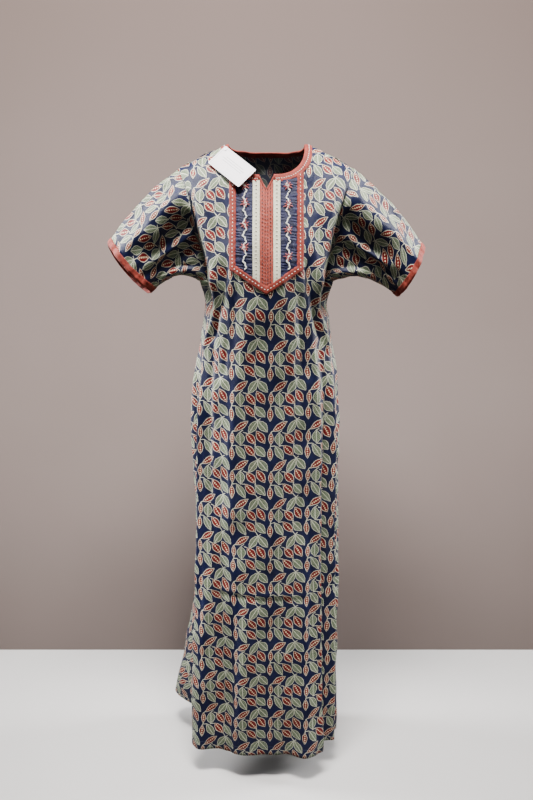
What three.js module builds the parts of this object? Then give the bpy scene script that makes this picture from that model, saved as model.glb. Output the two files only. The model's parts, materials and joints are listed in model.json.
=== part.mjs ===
// A long printed-cotton gown with short set-in sleeves, modelled as it hangs when it is worn, hollow
// and held by its shoulders alone. Millimetres, +Z up, the front faces -Y and the wearer's right is
// -X. The origin lies midway between the two high points of the shoulders, beside the neck.
import * as THREE from "three";

// ---- Driving dimensions ----

const HEM_Z = -1428;
const CLOTH = 1.6; // thickness given to a panel or a sleeve
const LAYER = 0.6; // thickness of a trim sewn on top
const SEAM_GAP = 0.4; // from the middle of a seam to each panel
const NECK = { halfWidth: 81, frontDrop: 63, backDrop: 14, squareness: 2.7 };
const NOTCH = { quarters: 0.122, depth: 27 }; // its half width, in quarters of the neckline
const SHOULDER = { tipX: 190, drop: 50, roundness: 70, backNeckRoundness: 22 };
const UNDERARM = { x: 150, z: -285 };
const ARMHOLE_BOW = 16; // how far the armhole curves in towards the chest
const ARMHOLE_GAP = 1.2; // from the panels' edge to the sleeve
const LEAN_AT_HEM = 0; // how far the hem swings sideways: the skirt hangs straight down
const HEM_TURN = 25; // height of the hem's turned-up allowance
const SEAM = { from: 3, to: 10, half: 0.6 }; // an allowance standing inside the cloth

// Depth of the front and the back from the side seams, and half the body's width, by height.
const FRONT_DEPTH = [[0, 50], [-60, 65], [-150, 98], [-250, 124], [-330, 122], [-450, 108],
  [-600, 102], [-900, 106], [HEM_Z, 112]];
const BACK_DEPTH = [[0, 58], [-100, 88], [-200, 104], [-350, 96], [-500, 90], [-700, 104],
  [-1000, 118], [HEM_Z, 135]];
const HALF_WIDTH = [[0, 240], [-50, 225], [-120, 204], [-180, 180], [-220, 164], [-250, 155],
  [UNDERARM.z, UNDERARM.x], [-334, 137], [-408, 146], [-521, 163], [-650, 168], [-855, 171],
  [HEM_Z, 182]];

// Long folds of the skirt: where they stand round the body, how far out and how wide they are at
// the hem, and the height at which they start.
const FOLDS = [
  { angle: -122, out: 112, spread: 26, from: -860, growth: 0.8 },
  { angle: -50, out: 24, spread: 13, from: -700, growth: 1.2 },
  { angle: 30, out: 26, spread: 13, from: -760, growth: 1.2 },
  { angle: 150, out: 22, spread: 16, from: -600, growth: 1.2 },
];

// Where each sleeve ends, seen from the front with x measured outwards, and its cuff's half depth.
const SLEEVES = {
  right: { side: -1, cuffTop: [344, -203], cuffBottom: [255, -308], cuffDepth: 43, backHang: 24 },
  left: { side: 1, cuffTop: [343, -213], cuffBottom: [291, -318], cuffDepth: 52, backHang: 6 },
};
const SLEEVE_RISE = { top: 14, under: 22 }; // how far the top and underarm lines arch up

// Bindings folded over an edge: how far they reach outside and inside, and their thickness.
const NECK_BINDING = { outside: 14, inside: 7, thick: 0.8, lift: 1.4, fold: 0.6 };
const CUFF_BINDING = { outside: 12, inside: 8, thick: 0.8, lift: 0.9, fold: 1.2 };
const NOTCH_BINDING = { width: 2.8, low: 2.6, high: 3.2 };

// The shield-shaped yoke on the chest, by distance from the centre line.
const YOKE = { halfWidth: 76.5, cornerZ: -250, pointZ: -300, trim: 14.5 };
const STRIP_HALF = 13.6;
const LACE = { inner: 14.4, outer: 28 };
const ON_CLOTH = 0.7; // first layer sewn on the panel
const ON_TRIM = 1.8; // second layer, on top of the first
const EDGE_GAP = 0.5;

// Embroidery on the yoke's dark panels.
const VINE = { x: 44, top: -80, bottom: -247, wave: 3, period: 25, halfWidth: 1.3 };
const FLOWER = { outer: 9.5, inner: 3, rays: 8, low: 2.9 };
const FLOWER_HEIGHTS = { right: [-84, -118, -161, -206], left: [-84, -122, -171, -224] };

// The paper swing tag, by its top corner and two edges, and the snap pin that holds it.
const TAG = { length: 90, width: 52, thick: 0.5, round: 2, holeRadius: 2, inset: 6 };
const TAG_AT = { corner: [-84, -22, -8.5], long: [65, -40, -50], short: [-40, -11.6, -27.5], lift: 10 };
const PIN = { shaft: 0.9, head: 3, headThick: 0.7, foot: 1.8, footThick: 0.6, gap: 0.6 };

const LOOKS = {
  print: { color: 0x4d567a, roughness: 0.6 },
  rust: { color: 0xc9604f, roughness: 0.65 },
  navy: { color: 0x2d306c, roughness: 0.55 },
  lace: { color: 0xece8d0, roughness: 0.75 },
  thread: { color: 0xf0ece4, roughness: 0.5 },
  coral: { color: 0xd0524c, roughness: 0.5 },
  lining: { color: 0x8a8c96, roughness: 0.8 },
  card: { color: 0xf3e9ee, roughness: 0.6 },
  plastic: { color: 0xf4f4f4, roughness: 0.35 },
};

// ---- Helpers ----

const { clamp, lerp, smoothstep, degToRad } = THREE.MathUtils;
const steps = (from, to, count) =>
  Array.from({ length: count + 1 }, (_, i) => lerp(from, to, i / count));

const gown = new THREE.Group();

function addPiece(name, geometry, look, parent = gown) {
  const mesh = new THREE.Mesh(geometry, new THREE.MeshStandardMaterial(LOOKS[look]));
  mesh.name = name;
  parent.add(mesh);
}

// A smooth curve through [height, value] pairs that run downwards: cubic Hermite pieces.
function profile(pairs, z) {
  const last = pairs.length - 1;
  if (z >= pairs[0][0]) return pairs[0][1];
  if (z <= pairs[last][0]) return pairs[last][1];
  const slope = (i) => {
    const above = pairs[Math.max(i - 1, 0)];
    const below = pairs[Math.min(i + 1, last)];
    return (below[1] - above[1]) / (below[0] - above[0]);
  };
  const i = pairs.findIndex((pair) => pair[0] < z) - 1;
  const height = pairs[i + 1][0] - pairs[i][0];
  const t = (z - pairs[i][0]) / height;
  const ends = lerp(pairs[i][1], pairs[i + 1][1], t * t * (3 - 2 * t));
  return ends + height * t * (1 - t) * (slope(i) * (1 - t) - slope(i + 1) * t);
}

// Turns a surface f(a, b) into one that also takes n, the distance from it along its normal. The
// normal is worked out inside the ranges of a and b, and side picks which way it points.
function thickened(f, rangeA, rangeB, side) {
  const stepA = (rangeA[1] - rangeA[0]) * 1e-4;
  const stepB = (rangeB[1] - rangeB[0]) * 1e-4;
  return (a, b, n) => {
    const alongA = f(clamp(a + stepA, ...rangeA), b).sub(f(clamp(a - stepA, ...rangeA), b));
    const alongB = f(a, clamp(b + stepB, ...rangeB)).sub(f(a, clamp(b - stepB, ...rangeB)));
    const normal = alongA.cross(alongB).normalize();
    return f(a, b).addScaledVector(normal, n * side);
  };
}

// A closed geometry whose faces point out, whichever way its rows of points ran.
function solidOf(points, faces) {
  let volume = 0;
  for (let i = 0; i < faces.length; i += 3) {
    const [a, b, c] = faces.slice(i, i + 3).map((k) => points[k]);
    volume += a.dot(b.clone().cross(c));
  }
  if (volume < 0) faces.reverse();
  const geometry = new THREE.BufferGeometry().setFromPoints(points);
  geometry.setIndex(faces);
  return geometry;
}

// A closed solid from rows of points. Each row is one closed section whose first and last points
// are its end edge, and the rows follow a path.
function sweptSolid(rows, closedPath) {
  const count = rows[0].length;
  const faces = [];
  const quad = (a, b, c, d) => faces.push(a, b, d, b, c, d);
  const spans = closedPath ? rows.length : rows.length - 1;
  for (let i = 0; i < spans; i++) {
    const here = i * count;
    const next = ((i + 1) % rows.length) * count;
    for (let j = 0; j < count; j++) {
      const k = (j + 1) % count;
      quad(here + j, here + k, next + k, next + j);
    }
  }
  if (!closedPath) {
    const end = (rows.length - 1) * count;
    for (let j = 0; 2 * j + 2 < count; j++) {
      const k = count - 1 - j;
      quad(j, k, k - 1, j + 1);
      quad(end + k, end + j, end + j + 1, end + k - 1);
    }
  }
  return solidOf(rows.flat(), faces);
}

// A layer of cloth between the distances low and high from a surface.
function layerSolid(surface, as, bs, low, high, closedPath = false) {
  const rows = as.map((a) => [
    ...bs.map((b) => surface(a, b, low)),
    ...[...bs].reverse().map((b) => surface(a, b, high)),
  ]);
  return sweptSolid(rows, closedPath);
}

// The section of a binding folded over an edge, as [reach, distance from the cloth] pairs. Reach
// is measured back from the edge, so the fold itself is at a negative reach.
function bindingSection({ outside, inside, thick, lift, fold }) {
  const innerFace = -CLOTH - lift;
  return [
    [outside, lift + thick],
    [outside / 2, lift + thick],
    [-fold - thick, lift + thick],
    [-fold - thick, innerFace - thick],
    [inside, innerFace - thick],
    [inside, innerFace],
    [-fold, innerFace],
    [-fold, lift],
    [outside / 2, lift],
    [outside, lift],
  ];
}

// ---- The surface of the body ----

// Height of the shoulder line over x. It is level between the neck's high points.
function shoulderZ(x) {
  const share = (Math.abs(x) - NECK.halfWidth) / (SHOULDER.tipX - NECK.halfWidth);
  return -SHOULDER.drop * Math.max(share, 0) ** 1.25;
}

const armholeMiddleZ = (UNDERARM.z - SHOULDER.drop) / 2;
const armholeHalfHeight = -SHOULDER.drop - armholeMiddleZ;

// Distance of the armhole's edge from the centre plane at a height.
function armholeX(z) {
  const cos = clamp((z - armholeMiddleZ) / armholeHalfHeight, -1, 1);
  const centre = (SHOULDER.tipX + UNDERARM.x) / 2;
  return centre + (SHOULDER.tipX - centre) * cos - ARMHOLE_BOW * Math.sqrt(1 - cos * cos);
}

// How far below the shoulder line the cloth has turned from lying flat to hanging.
function turnDepth(side, x) {
  if (side < 0) return SHOULDER.roundness;
  const share = smoothstep(Math.abs(x), 0, UNDERARM.x);
  return lerp(SHOULDER.backNeckRoundness, SHOULDER.roundness, share);
}

const depthAt = (side, z) => profile(side < 0 ? FRONT_DEPTH : BACK_DEPTH, z);
const halfWidthAt = (z) => profile(HALF_WIDTH, z);

// A point of the chest (side -1) or the back (side 1), between the shoulder and underarm lines.
function torsoPoint(side, x, z) {
  const below = clamp((shoulderZ(x) - z) / turnDepth(side, x), 0, 1);
  const turned = Math.sqrt(1 - (1 - below) ** 2);
  const across = Math.sqrt(Math.max(1 - (x / halfWidthAt(z)) ** 2, 0));
  return new THREE.Vector3(x, side * depthAt(side, z) * across * turned, z);
}

// A point of the skirt at an angle round the body: 0 is the front and 90 degrees the left side.
function skirtPoint(angle, z) {
  const side = Math.cos(degToRad(angle)) >= 0 ? -1 : 1;
  const fall = (UNDERARM.z - z) / (UNDERARM.z - HEM_Z);
  let out = 0;
  for (const fold of FOLDS) {
    const grown = clamp((fold.from - z) / (fold.from - HEM_Z), 0, 1) ** fold.growth;
    const away = (((angle - fold.angle + 540) % 360) - 180) / fold.spread;
    out += fold.out * grown * Math.exp(-away * away);
  }
  const x = LEAN_AT_HEM * fall + (halfWidthAt(z) + out) * Math.sin(degToRad(angle));
  return new THREE.Vector3(x, -(depthAt(side, z) + out) * Math.cos(degToRad(angle)), z);
}

// A point of the neckline, reach outside its edge. The angle is 0 at the left shoulder, 90 in
// front and -90 at the back: the edge is a superellipse that drops more in front.
function necklinePlan(reach, angle) {
  const power = 2 / NECK.squareness;
  const cos = Math.cos(degToRad(angle));
  const sin = Math.sin(degToRad(angle));
  const side = sin >= 0 ? -1 : 1;
  const drop = side < 0 ? NECK.frontDrop : NECK.backDrop;
  const x = (NECK.halfWidth + reach) * Math.sign(cos) * Math.abs(cos) ** power;
  return { side, x, z: shoulderZ(x) - (drop + reach) * Math.abs(sin) ** power };
}

function necklinePoint(reach, angle) {
  const { side, x, z } = necklinePlan(reach, angle);
  return torsoPoint(side, x, z);
}

// The neckline's angle after a number of its quarters, which spaces its points evenly.
function neckAngle(quarters) {
  const whole = Math.floor(quarters);
  const out = (quarters - whole) ** (NECK.squareness / 2);
  const back = (whole + 1 - quarters) ** (NECK.squareness / 2);
  return 90 * (whole + out / (out + back));
}

// ---- Front and back panels ----

const PANEL_EDGE = 2; // the panels stop this far outside the neckline, inside its binding
const NECK_SHARE = 0.45; // share of a half panel's columns that start at the neckline
const NOTCH_SHARE = 0.06; // share of them that start in the notch, on the front
const notchLip = necklinePlan(PANEL_EDGE, neckAngle(1 - NOTCH.quarters));

// Where a column starts: on the notch, the neckline or the shoulder seam. c runs from 0 on the
// centre line to 1 at the armhole.
function columnTop(side, c) {
  const notched = side < 0 ? NOTCH_SHARE : 0;
  const start = side < 0 ? 1 - NOTCH.quarters : 1;
  if (c < notched) {
    const share = c / notched;
    return { x: notchLip.x * share, z: notchLip.z - NOTCH.depth * (1 - share) };
  }
  if (c < NECK_SHARE) {
    const share = (c - notched) / (NECK_SHARE - notched);
    return necklinePlan(PANEL_EDGE, -side * neckAngle(start * (1 - share)));
  }
  const share = (c - NECK_SHARE) / (1 - NECK_SHARE);
  const x = lerp(NECK.halfWidth + PANEL_EDGE, SHOULDER.tipX, share);
  return { x, z: shoulderZ(x) };
}

// A point of a panel. Down a column v goes from 0 to 1 above the underarm line, as an angle goes
// round the armhole, and on to 2 at the hem. c is negative on the wearer's right.
function panelPoint(side, c, v) {
  const share = Math.abs(c);
  const sign = Math.sign(c);
  let p;
  if (v <= 1) {
    const top = columnTop(side, share);
    const down = (1 - Math.cos(Math.PI * v)) / 2;
    const z = lerp(top.z, UNDERARM.z, down);
    const end = UNDERARM.x * Math.sin((share * Math.PI) / 2);
    const bend = armholeX(z) - lerp(SHOULDER.tipX, UNDERARM.x, down);
    const edge = share ** 6 * bend * (share < 1 ? smoothstep(v, 0, 0.3) : 1);
    p = torsoPoint(side, sign * (lerp(top.x, end, down) + edge), z);
  } else {
    const z = lerp(UNDERARM.z, HEM_Z, v - 1);
    p = skirtPoint(side < 0 ? 90 * c : 180 - 90 * c, z);
  }
  p.y += side * SEAM_GAP;
  return p;
}

// The panels and the neck binding share these places along a quarter of the neckline, which are
// closer together near the shoulder, where the cloth turns.
const fromShoulder = steps(0, 1, 10).map((share) => share ** 1.5);

const mirrored = (half) => [...half.map((c) => -c).reverse(), ...half.filter((c) => c > 0)];
const columnsFrom = (first) => [
  ...fromShoulder.map((share) => lerp(NECK_SHARE, first, share)).reverse(),
  ...steps(NECK_SHARE, 1, 5).slice(1),
];
const frontColumns = mirrored([0, NOTCH_SHARE / 2, ...columnsFrom(NOTCH_SHARE)]);
const backColumns = mirrored(columnsFrom(0));
const ARMHOLE_STEPS = 12; // the panels and the sleeves share their points along the armhole
const panelRows = [
  ...steps(0, 0.25, ARMHOLE_STEPS / 2), // half steps, where the cloth turns over the shoulder
  ...steps(0.25, 1, ARMHOLE_STEPS * 0.75).slice(1),
  ...steps(1, 2, 10).slice(1),
];

const frontPanel = thickened((c, v) => panelPoint(-1, c, v), [-1, 1], [0, 2], -1);
const backPanel = thickened((c, v) => panelPoint(1, c, v), [-1, 1], [0, 2], 1);
addPiece("front_panel", layerSolid(frontPanel, frontColumns, panelRows, -CLOTH, 0), "print");
addPiece("back_panel", layerSolid(backPanel, backColumns, panelRows, -CLOTH, 0), "print");

// The hem's allowance, turned up inside each panel.
const hemRows = [2 - HEM_TURN / (UNDERARM.z - HEM_Z), 2];
const hemFace = -CLOTH - ON_CLOTH;
const frontHem = layerSolid(frontPanel, frontColumns, hemRows, hemFace - LAYER, hemFace);
const backHem = layerSolid(backPanel, backColumns, hemRows, hemFace - LAYER, hemFace);
addPiece("front_hem_turn", frontHem, "print");
addPiece("back_hem_turn", backHem, "print");

// ---- Sleeves, cuffs and the seams inside them ----

// The armhole's edge round the sleeve's angle, on the left: 0 is the shoulder tip, 90 the front,
// 180 the underarm and 270 the back.
function armholePoint(angle) {
  const z = armholeMiddleZ + armholeHalfHeight * Math.cos(degToRad(angle));
  return torsoPoint(Math.sin(degToRad(angle)) >= 0 ? -1 : 1, armholeX(z), z);
}

function cuffPoint({ cuffTop, cuffBottom, cuffDepth, backHang }, angle) {
  const cos = Math.cos(degToRad(angle));
  const sin = Math.sin(degToRad(angle));
  const hang = backHang * Math.max(-sin, 0); // the back of the sleeve is the longer
  const x = lerp(cuffBottom[0], cuffTop[0], (1 + cos) / 2) + 0.6 * hang;
  const z = lerp(cuffBottom[1], cuffTop[1], (1 + cos) / 2) - 0.8 * hang;
  return new THREE.Vector3(x, -cuffDepth * sin, z);
}

// A point of a sleeve, s from 0 at the armhole to 1 at the cuff's edge.
function sleevePoint(sleeve, angle, s) {
  const start = armholePoint(angle);
  start.x += ARMHOLE_GAP;
  const p = start.lerp(cuffPoint(sleeve, angle), s);
  const up = Math.cos(degToRad(angle));
  const rise = up > 0 ? SLEEVE_RISE.top * up : -SLEEVE_RISE.under * up;
  p.z += rise * Math.sin(Math.PI * Math.min(s, 1));
  p.x *= sleeve.side;
  return p;
}

const roundSleeve = steps(0, 360, 2 * ARMHOLE_STEPS).slice(0, -1);
const armholeCentre = new THREE.Vector3(UNDERARM.x - 10, 0, armholeMiddleZ);

for (const [name, sleeve] of Object.entries(SLEEVES)) {
  const surface = thickened(
    (angle, s) => sleevePoint(sleeve, angle, s), [-10, 370], [0, 1.02], sleeve.side);
  const shell = layerSolid(surface, roundSleeve, steps(0, 1, 7), -CLOTH, 0, true);
  addPiece(name + "_sleeve", shell, "print");

  const cuffRows = roundSleeve.map((angle) => {
    const length = sleevePoint(sleeve, angle, 1).distanceTo(sleevePoint(sleeve, angle, 0));
    return bindingSection(CUFF_BINDING).map(([reach, n]) => surface(angle, 1 - reach / length, n));
  });
  addPiece(name + "_cuff_binding", sweptSolid(cuffRows, true), "rust");

  const seamRows = steps(0.1, 0.8, 5).map((s) => {
    const at = (y, n) => surface(180, s, -n).add(new THREE.Vector3(0, y, 0));
    const { from, to, half } = SEAM;
    return [at(-half, from), at(half, from), at(half, to), at(-half, to)];
  });
  addPiece(name + "_sleeve_seam", sweptSolid(seamRows, false), "print");

  // The armhole's allowance stands inside the joint, towards the middle of the armhole.
  const armholeRows = roundSleeve.map((angle) => {
    const edge = armholePoint(angle);
    const inward = armholeCentre.clone().sub(edge).normalize();
    const at = (x, n) => {
      const p = edge.clone().addScaledVector(inward, n);
      return p.setX((p.x + x) * sleeve.side);
    };
    return [at(0.1, 3.4), at(1.1, 3.4), at(1.1, 9), at(0.1, 9)];
  });
  addPiece(name + "_armhole_seam", sweptSolid(armholeRows, true), "print");
}

// ---- Shoulder and side seams ----

for (const [name, sign] of [["right", -1], ["left", 1]]) {
  const { from, to, half } = SEAM;
  const shoulderXs = steps(NECK.halfWidth + NECK_BINDING.outside, SHOULDER.tipX - 6, 6);
  const shoulderRows = shoulderXs.map((x) => {
    const at = (y, down) => new THREE.Vector3(sign * x, y, shoulderZ(x) - down);
    return [at(-half, from), at(half, from), at(half, to), at(-half, to)];
  });
  addPiece(name + "_shoulder_seam", sweptSolid(shoulderRows, false), "print");

  const sideRows = steps(UNDERARM.z - 8, HEM_Z + HEM_TURN + 4, 18).map((z) => {
    const at = (y, inward) => skirtPoint(sign * 90, z).add(new THREE.Vector3(-sign * inward, y, 0));
    return [at(-half, from), at(half, from), at(half, to), at(-half, to)];
  });
  addPiece(name + "_side_seam", sweptSolid(sideRows, false), "print");
}

// ---- Neck binding and notch ----

// The binding runs from the notch's left lip up over the left shoulder, round the back of the
// neck, and down to the notch's right lip.
const neckline = thickened(necklinePoint, [-4, 16], [-280, 280], -1);
const leftFront = fromShoulder.map((share) => share * (1 - NOTCH.quarters)).reverse();
const bindingQuarters = [
  ...leftFront,
  ...fromShoulder.slice(1).map((share) => -share),
  ...fromShoulder.slice(0, -1).map((share) => share - 2).reverse(),
  ...leftFront.slice(0, -1).map((quarters) => -2 - quarters).reverse(),
];
const neckRows = bindingQuarters.map((quarters) =>
  bindingSection(NECK_BINDING).map(([reach, n]) => neckline(reach, neckAngle(quarters), n)),
);
addPiece("neck_binding", sweptSolid(neckRows, false), "rust");

// The chest's surface by x and z, where the yoke is sewn.
const chest = thickened(
  (x, z) => torsoPoint(-1, x, z).add(new THREE.Vector3(0, -SEAM_GAP, 0)),
  [-120, 120], [-340, -20], 1);

// Height of the lower edge of the neck binding over x.
function bindingEdge(x) {
  const n = NECK.squareness;
  const across = Math.abs(x) / (NECK.halfWidth + NECK_BINDING.outside);
  return -(NECK.frontDrop + NECK_BINDING.outside) * (1 - across ** n) ** (1 / n);
}

for (const [name, sign] of [["right", -1], ["left", 1]]) {
  const rows = steps(0, 1, 4).map((share) => {
    const x = lerp(notchLip.x, 0, share) + EDGE_GAP;
    const z = -NECK.frontDrop - NOTCH.depth * share - 1;
    const { width, low, high } = NOTCH_BINDING;
    const at = (out, n) => chest(sign * (x + out), z, n);
    return [at(0, low), at(width, low), at(width, high), at(0, high)];
  });
  addPiece(name + "_notch_binding", sweptSolid(rows, false), "rust");
}

// ---- Yoke ----

const yokeSlope = (YOKE.cornerZ - YOKE.pointZ) / YOKE.halfWidth;
const yokeInner = YOKE.halfWidth - YOKE.trim;

// Height of the yoke's pointed lower edge over x, moved up by a distance square to the edge.
function yokeBottom(x, inset) {
  return YOKE.pointZ + yokeSlope * Math.abs(x) + inset * Math.hypot(1, yokeSlope);
}

// A piece of the yoke between two distances from the centre line, from a top line down to the
// pointed edge.
function yokePiece({ from, to, across, down, top, inset, low }) {
  const surface = (x, share, n) => chest(x, lerp(top(x), yokeBottom(x, inset), share), n);
  return layerSolid(surface, steps(from, to, across), steps(0, 1, down), low, low + LAYER);
}

const belowBinding = (x) => bindingEdge(x) - 2 * EDGE_GAP;
const belowNotch = (x, clear) => {
  const lip = -NECK.frontDrop - clear - NOTCH.depth * Math.max(1 - Math.abs(x) / notchLip.x, 0);
  return Math.min(belowBinding(x), lip);
};
const insideTrim = { down: 14, inset: YOKE.trim + EDGE_GAP, low: ON_CLOTH };

const strip = { from: -STRIP_HALF, to: STRIP_HALF, across: 4, top: (x) => belowNotch(x, 3) };
addPiece("tuck_strip", yokePiece({ ...insideTrim, ...strip }), "rust");

for (const [name, sign] of [["right", -1], ["left", 1]]) {
  const dark = { from: sign * (LACE.outer + EDGE_GAP), to: sign * (yokeInner - EDGE_GAP) };
  const darkPanel = yokePiece({ ...insideTrim, ...dark, across: 3, top: belowBinding });
  addPiece(name + "_yoke_panel", darkPanel, "navy");
  const lace = { from: sign * LACE.inner, to: sign * LACE.outer, across: 1 };
  addPiece(name + "_lace", yokePiece({ ...insideTrim, ...lace, top: belowBinding }), "lace");

  // White stem stitch that waves down the dark panel.
  const vineRows = steps(VINE.top, VINE.bottom, 32).map((z) => {
    const x = sign * VINE.x + VINE.wave * Math.sin((2 * Math.PI * z) / VINE.period);
    const at = (out, n) => chest(x + out, z, n);
    const w = VINE.halfWidth;
    const high = ON_TRIM + LAYER;
    return [at(-w, ON_TRIM), at(w, ON_TRIM), at(w, high), at(-w, high)];
  });
  addPiece(name + "_vine", sweptSolid(vineRows, false), "thread");

  // Star flowers over the vine.
  FLOWER_HEIGHTS[name].forEach((z, i) => {
    addPiece(name + "_flower_" + (i + 1), starSolid(sign * VINE.x, z), "coral");
  });
}

// A star with pointed rays, lying on the chest.
function starSolid(x, z) {
  const count = 2 * FLOWER.rays;
  const rimAt = (n) =>
    Array.from({ length: count }, (_, k) => {
      const radius = k % 2 ? FLOWER.inner : FLOWER.outer;
      const turn = (2 * Math.PI * k) / count;
      return chest(x + radius * Math.cos(turn), z + radius * Math.sin(turn), n);
    });
  const high = FLOWER.low + LAYER;
  const points = [...rimAt(FLOWER.low), ...rimAt(high), chest(x, z, FLOWER.low), chest(x, z, high)];
  const faces = [];
  for (let i = 0; i < count; i++) {
    const k = (i + 1) % count;
    faces.push(i, k, count + k, i, count + k, count + i);
    faces.push(2 * count, k, i, 2 * count + 1, count + i, count + k);
  }
  return solidOf(points, faces);
}

// The trim round the yoke, mitred at its corners: down one side, along the point, and up the
// other. Each stop gives the outer and the inner edge's x and z.
const trimSide = (share, sign) =>
  [[YOKE.halfWidth, 0], [yokeInner, YOKE.trim]].map(([x, inset]) =>
    [sign * x, lerp(belowBinding(x), yokeBottom(x, inset), share)]);
const trimPoint = (share) =>
  [[YOKE.halfWidth, 0], [yokeInner, YOKE.trim]].map(([x, inset]) =>
    [share * x, yokeBottom(share * x, inset)]);
const trimStops = [
  ...steps(0, 1, 12).map((share) => trimSide(share, -1)),
  ...steps(-0.84, 0.84, 12).map(trimPoint),
  ...steps(1, 0, 12).map((share) => trimSide(share, 1)),
];
const trimRows = trimStops.map(([outer, inner]) => [
  chest(...outer, ON_TRIM),
  chest(...inner, ON_TRIM),
  chest(...inner, ON_TRIM + LAYER),
  chest(...outer, ON_TRIM + LAYER),
]);
addPiece("yoke_trim", sweptSolid(trimRows, false), "rust");

// A plain lining behind the yoke and the notch.
const lining = { from: -YOKE.halfWidth, to: YOKE.halfWidth, across: 10, down: 10, inset: 0 };
const liningTop = (x) => belowNotch(x, 8);
addPiece("yoke_lining", yokePiece({ ...lining, top: liningTop, low: hemFace - LAYER }), "lining");

// ---- Swing tag ----

// The card's frame has its origin in the hole, +X along the card, and +Z facing outwards.
const along = new THREE.Vector3(...TAG_AT.long).normalize();
const facing = new THREE.Vector3(...TAG_AT.short).cross(along).normalize();
const up = new THREE.Vector3().crossVectors(facing, along);
const tag = new THREE.Group();
tag.quaternion.setFromRotationMatrix(new THREE.Matrix4().makeBasis(along, up, facing));
tag.position
  .set(...TAG_AT.corner)
  .addScaledVector(along, TAG.inset)
  .addScaledVector(up, -TAG.inset)
  .addScaledVector(facing, TAG_AT.lift);
gown.add(tag);

const card = new THREE.Shape();
const [left, right] = [-TAG.inset + TAG.round, TAG.length - TAG.inset - TAG.round];
const [low, high] = [TAG.inset - TAG.width + TAG.round, TAG.inset - TAG.round];
card.absarc(right, low, TAG.round, -Math.PI / 2, 0);
card.absarc(right, high, TAG.round, 0, Math.PI / 2);
card.absarc(left, high, TAG.round, Math.PI / 2, Math.PI);
card.absarc(left, low, TAG.round, Math.PI, 1.5 * Math.PI);
card.holes.push(new THREE.Path().absarc(0, 0, TAG.holeRadius, 0, 2 * Math.PI, true));
const cardExtrusion = { depth: TAG.thick, bevelEnabled: false, curveSegments: 6 };
addPiece("swing_tag", new THREE.ExtrudeGeometry(card, cardExtrusion), "card", tag);

// A snap pin: a flat head in front of the card, a shaft through the hole, and a foot behind.
const headLow = TAG.thick + PIN.gap;
const footTop = -PIN.gap;
const pinOutline = [
  [0, footTop - PIN.footThick],
  [PIN.foot, footTop - PIN.footThick],
  [PIN.foot, footTop],
  [PIN.shaft, footTop],
  [PIN.shaft, headLow],
  [PIN.head, headLow],
  [PIN.head, headLow + PIN.headThick],
  [0, headLow + PIN.headThick],
].map(([r, y]) => new THREE.Vector2(r, y));
const pin = new THREE.LatheGeometry(pinOutline, 12).rotateX(Math.PI / 2);
addPiece("tag_pin", pin, "plastic", tag);

export default gown;
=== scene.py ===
import json
import math

import bpy
import numpy as np
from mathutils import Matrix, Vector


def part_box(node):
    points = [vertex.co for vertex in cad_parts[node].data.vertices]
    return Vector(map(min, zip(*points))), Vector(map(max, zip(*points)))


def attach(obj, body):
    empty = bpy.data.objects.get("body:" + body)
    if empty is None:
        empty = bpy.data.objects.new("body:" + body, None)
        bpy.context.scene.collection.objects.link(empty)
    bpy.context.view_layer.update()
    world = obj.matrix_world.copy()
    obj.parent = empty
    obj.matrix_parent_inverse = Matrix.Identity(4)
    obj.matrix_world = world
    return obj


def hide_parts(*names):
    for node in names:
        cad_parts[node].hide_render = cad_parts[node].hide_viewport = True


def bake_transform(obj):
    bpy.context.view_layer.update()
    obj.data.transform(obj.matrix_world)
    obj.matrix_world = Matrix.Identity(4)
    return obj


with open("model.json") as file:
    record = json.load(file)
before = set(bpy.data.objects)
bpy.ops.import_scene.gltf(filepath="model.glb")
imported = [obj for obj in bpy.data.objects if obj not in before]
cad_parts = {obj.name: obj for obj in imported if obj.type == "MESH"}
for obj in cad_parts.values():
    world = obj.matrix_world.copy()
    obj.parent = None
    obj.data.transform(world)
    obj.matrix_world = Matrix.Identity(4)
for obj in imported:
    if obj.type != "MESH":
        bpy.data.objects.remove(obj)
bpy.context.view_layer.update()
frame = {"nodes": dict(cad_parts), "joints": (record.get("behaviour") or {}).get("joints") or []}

# The cut of the gown, in metres. +X is the wearer's left, the front faces -Y, and z 0 is the high
# point of the shoulders.
cut = {
    "hemZ": -1.428,
    "neckHalf": 0.081, "neckFront": 0.063, "neckBack": 0.014, "neckPower": 2.7,
    "notchQuarters": 0.122, "notchDepth": 0.027, "panelEdge": 0.002,
    "tipX": 0.190, "tipDrop": 0.050, "frontRound": 0.070, "backRound": 0.022,
    "underarmX": 0.150, "underarmZ": -0.285, "armholeBow": 0.016,
    "flareRise": 0.026, "flareAngle": -110, "flareWidth": 26,  # where the hem is lifted
    "neckShare": 0.45, "notchShare": 0.06,
    "cloth": 0.0009,  # thickness of one layer
    "frontDepth": [(0, 0.050), (-0.060, 0.065), (-0.150, 0.098), (-0.250, 0.124), (-0.330, 0.122),
                   (-0.450, 0.108), (-0.600, 0.102), (-0.900, 0.106), (-1.428, 0.112)],
    "backDepth": [(0, 0.058), (-0.100, 0.088), (-0.200, 0.104), (-0.350, 0.096), (-0.500, 0.090),
                  (-0.700, 0.104), (-1.000, 0.118), (-1.428, 0.135)],
    "halfWidth": [(0, 0.240), (-0.050, 0.225), (-0.120, 0.204), (-0.180, 0.180), (-0.220, 0.164),
                  (-0.250, 0.155), (-0.285, 0.150), (-0.334, 0.137), (-0.408, 0.146),
                  (-0.521, 0.163), (-0.650, 0.168), (-0.855, 0.171), (-1.428, 0.182)],
}

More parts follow.
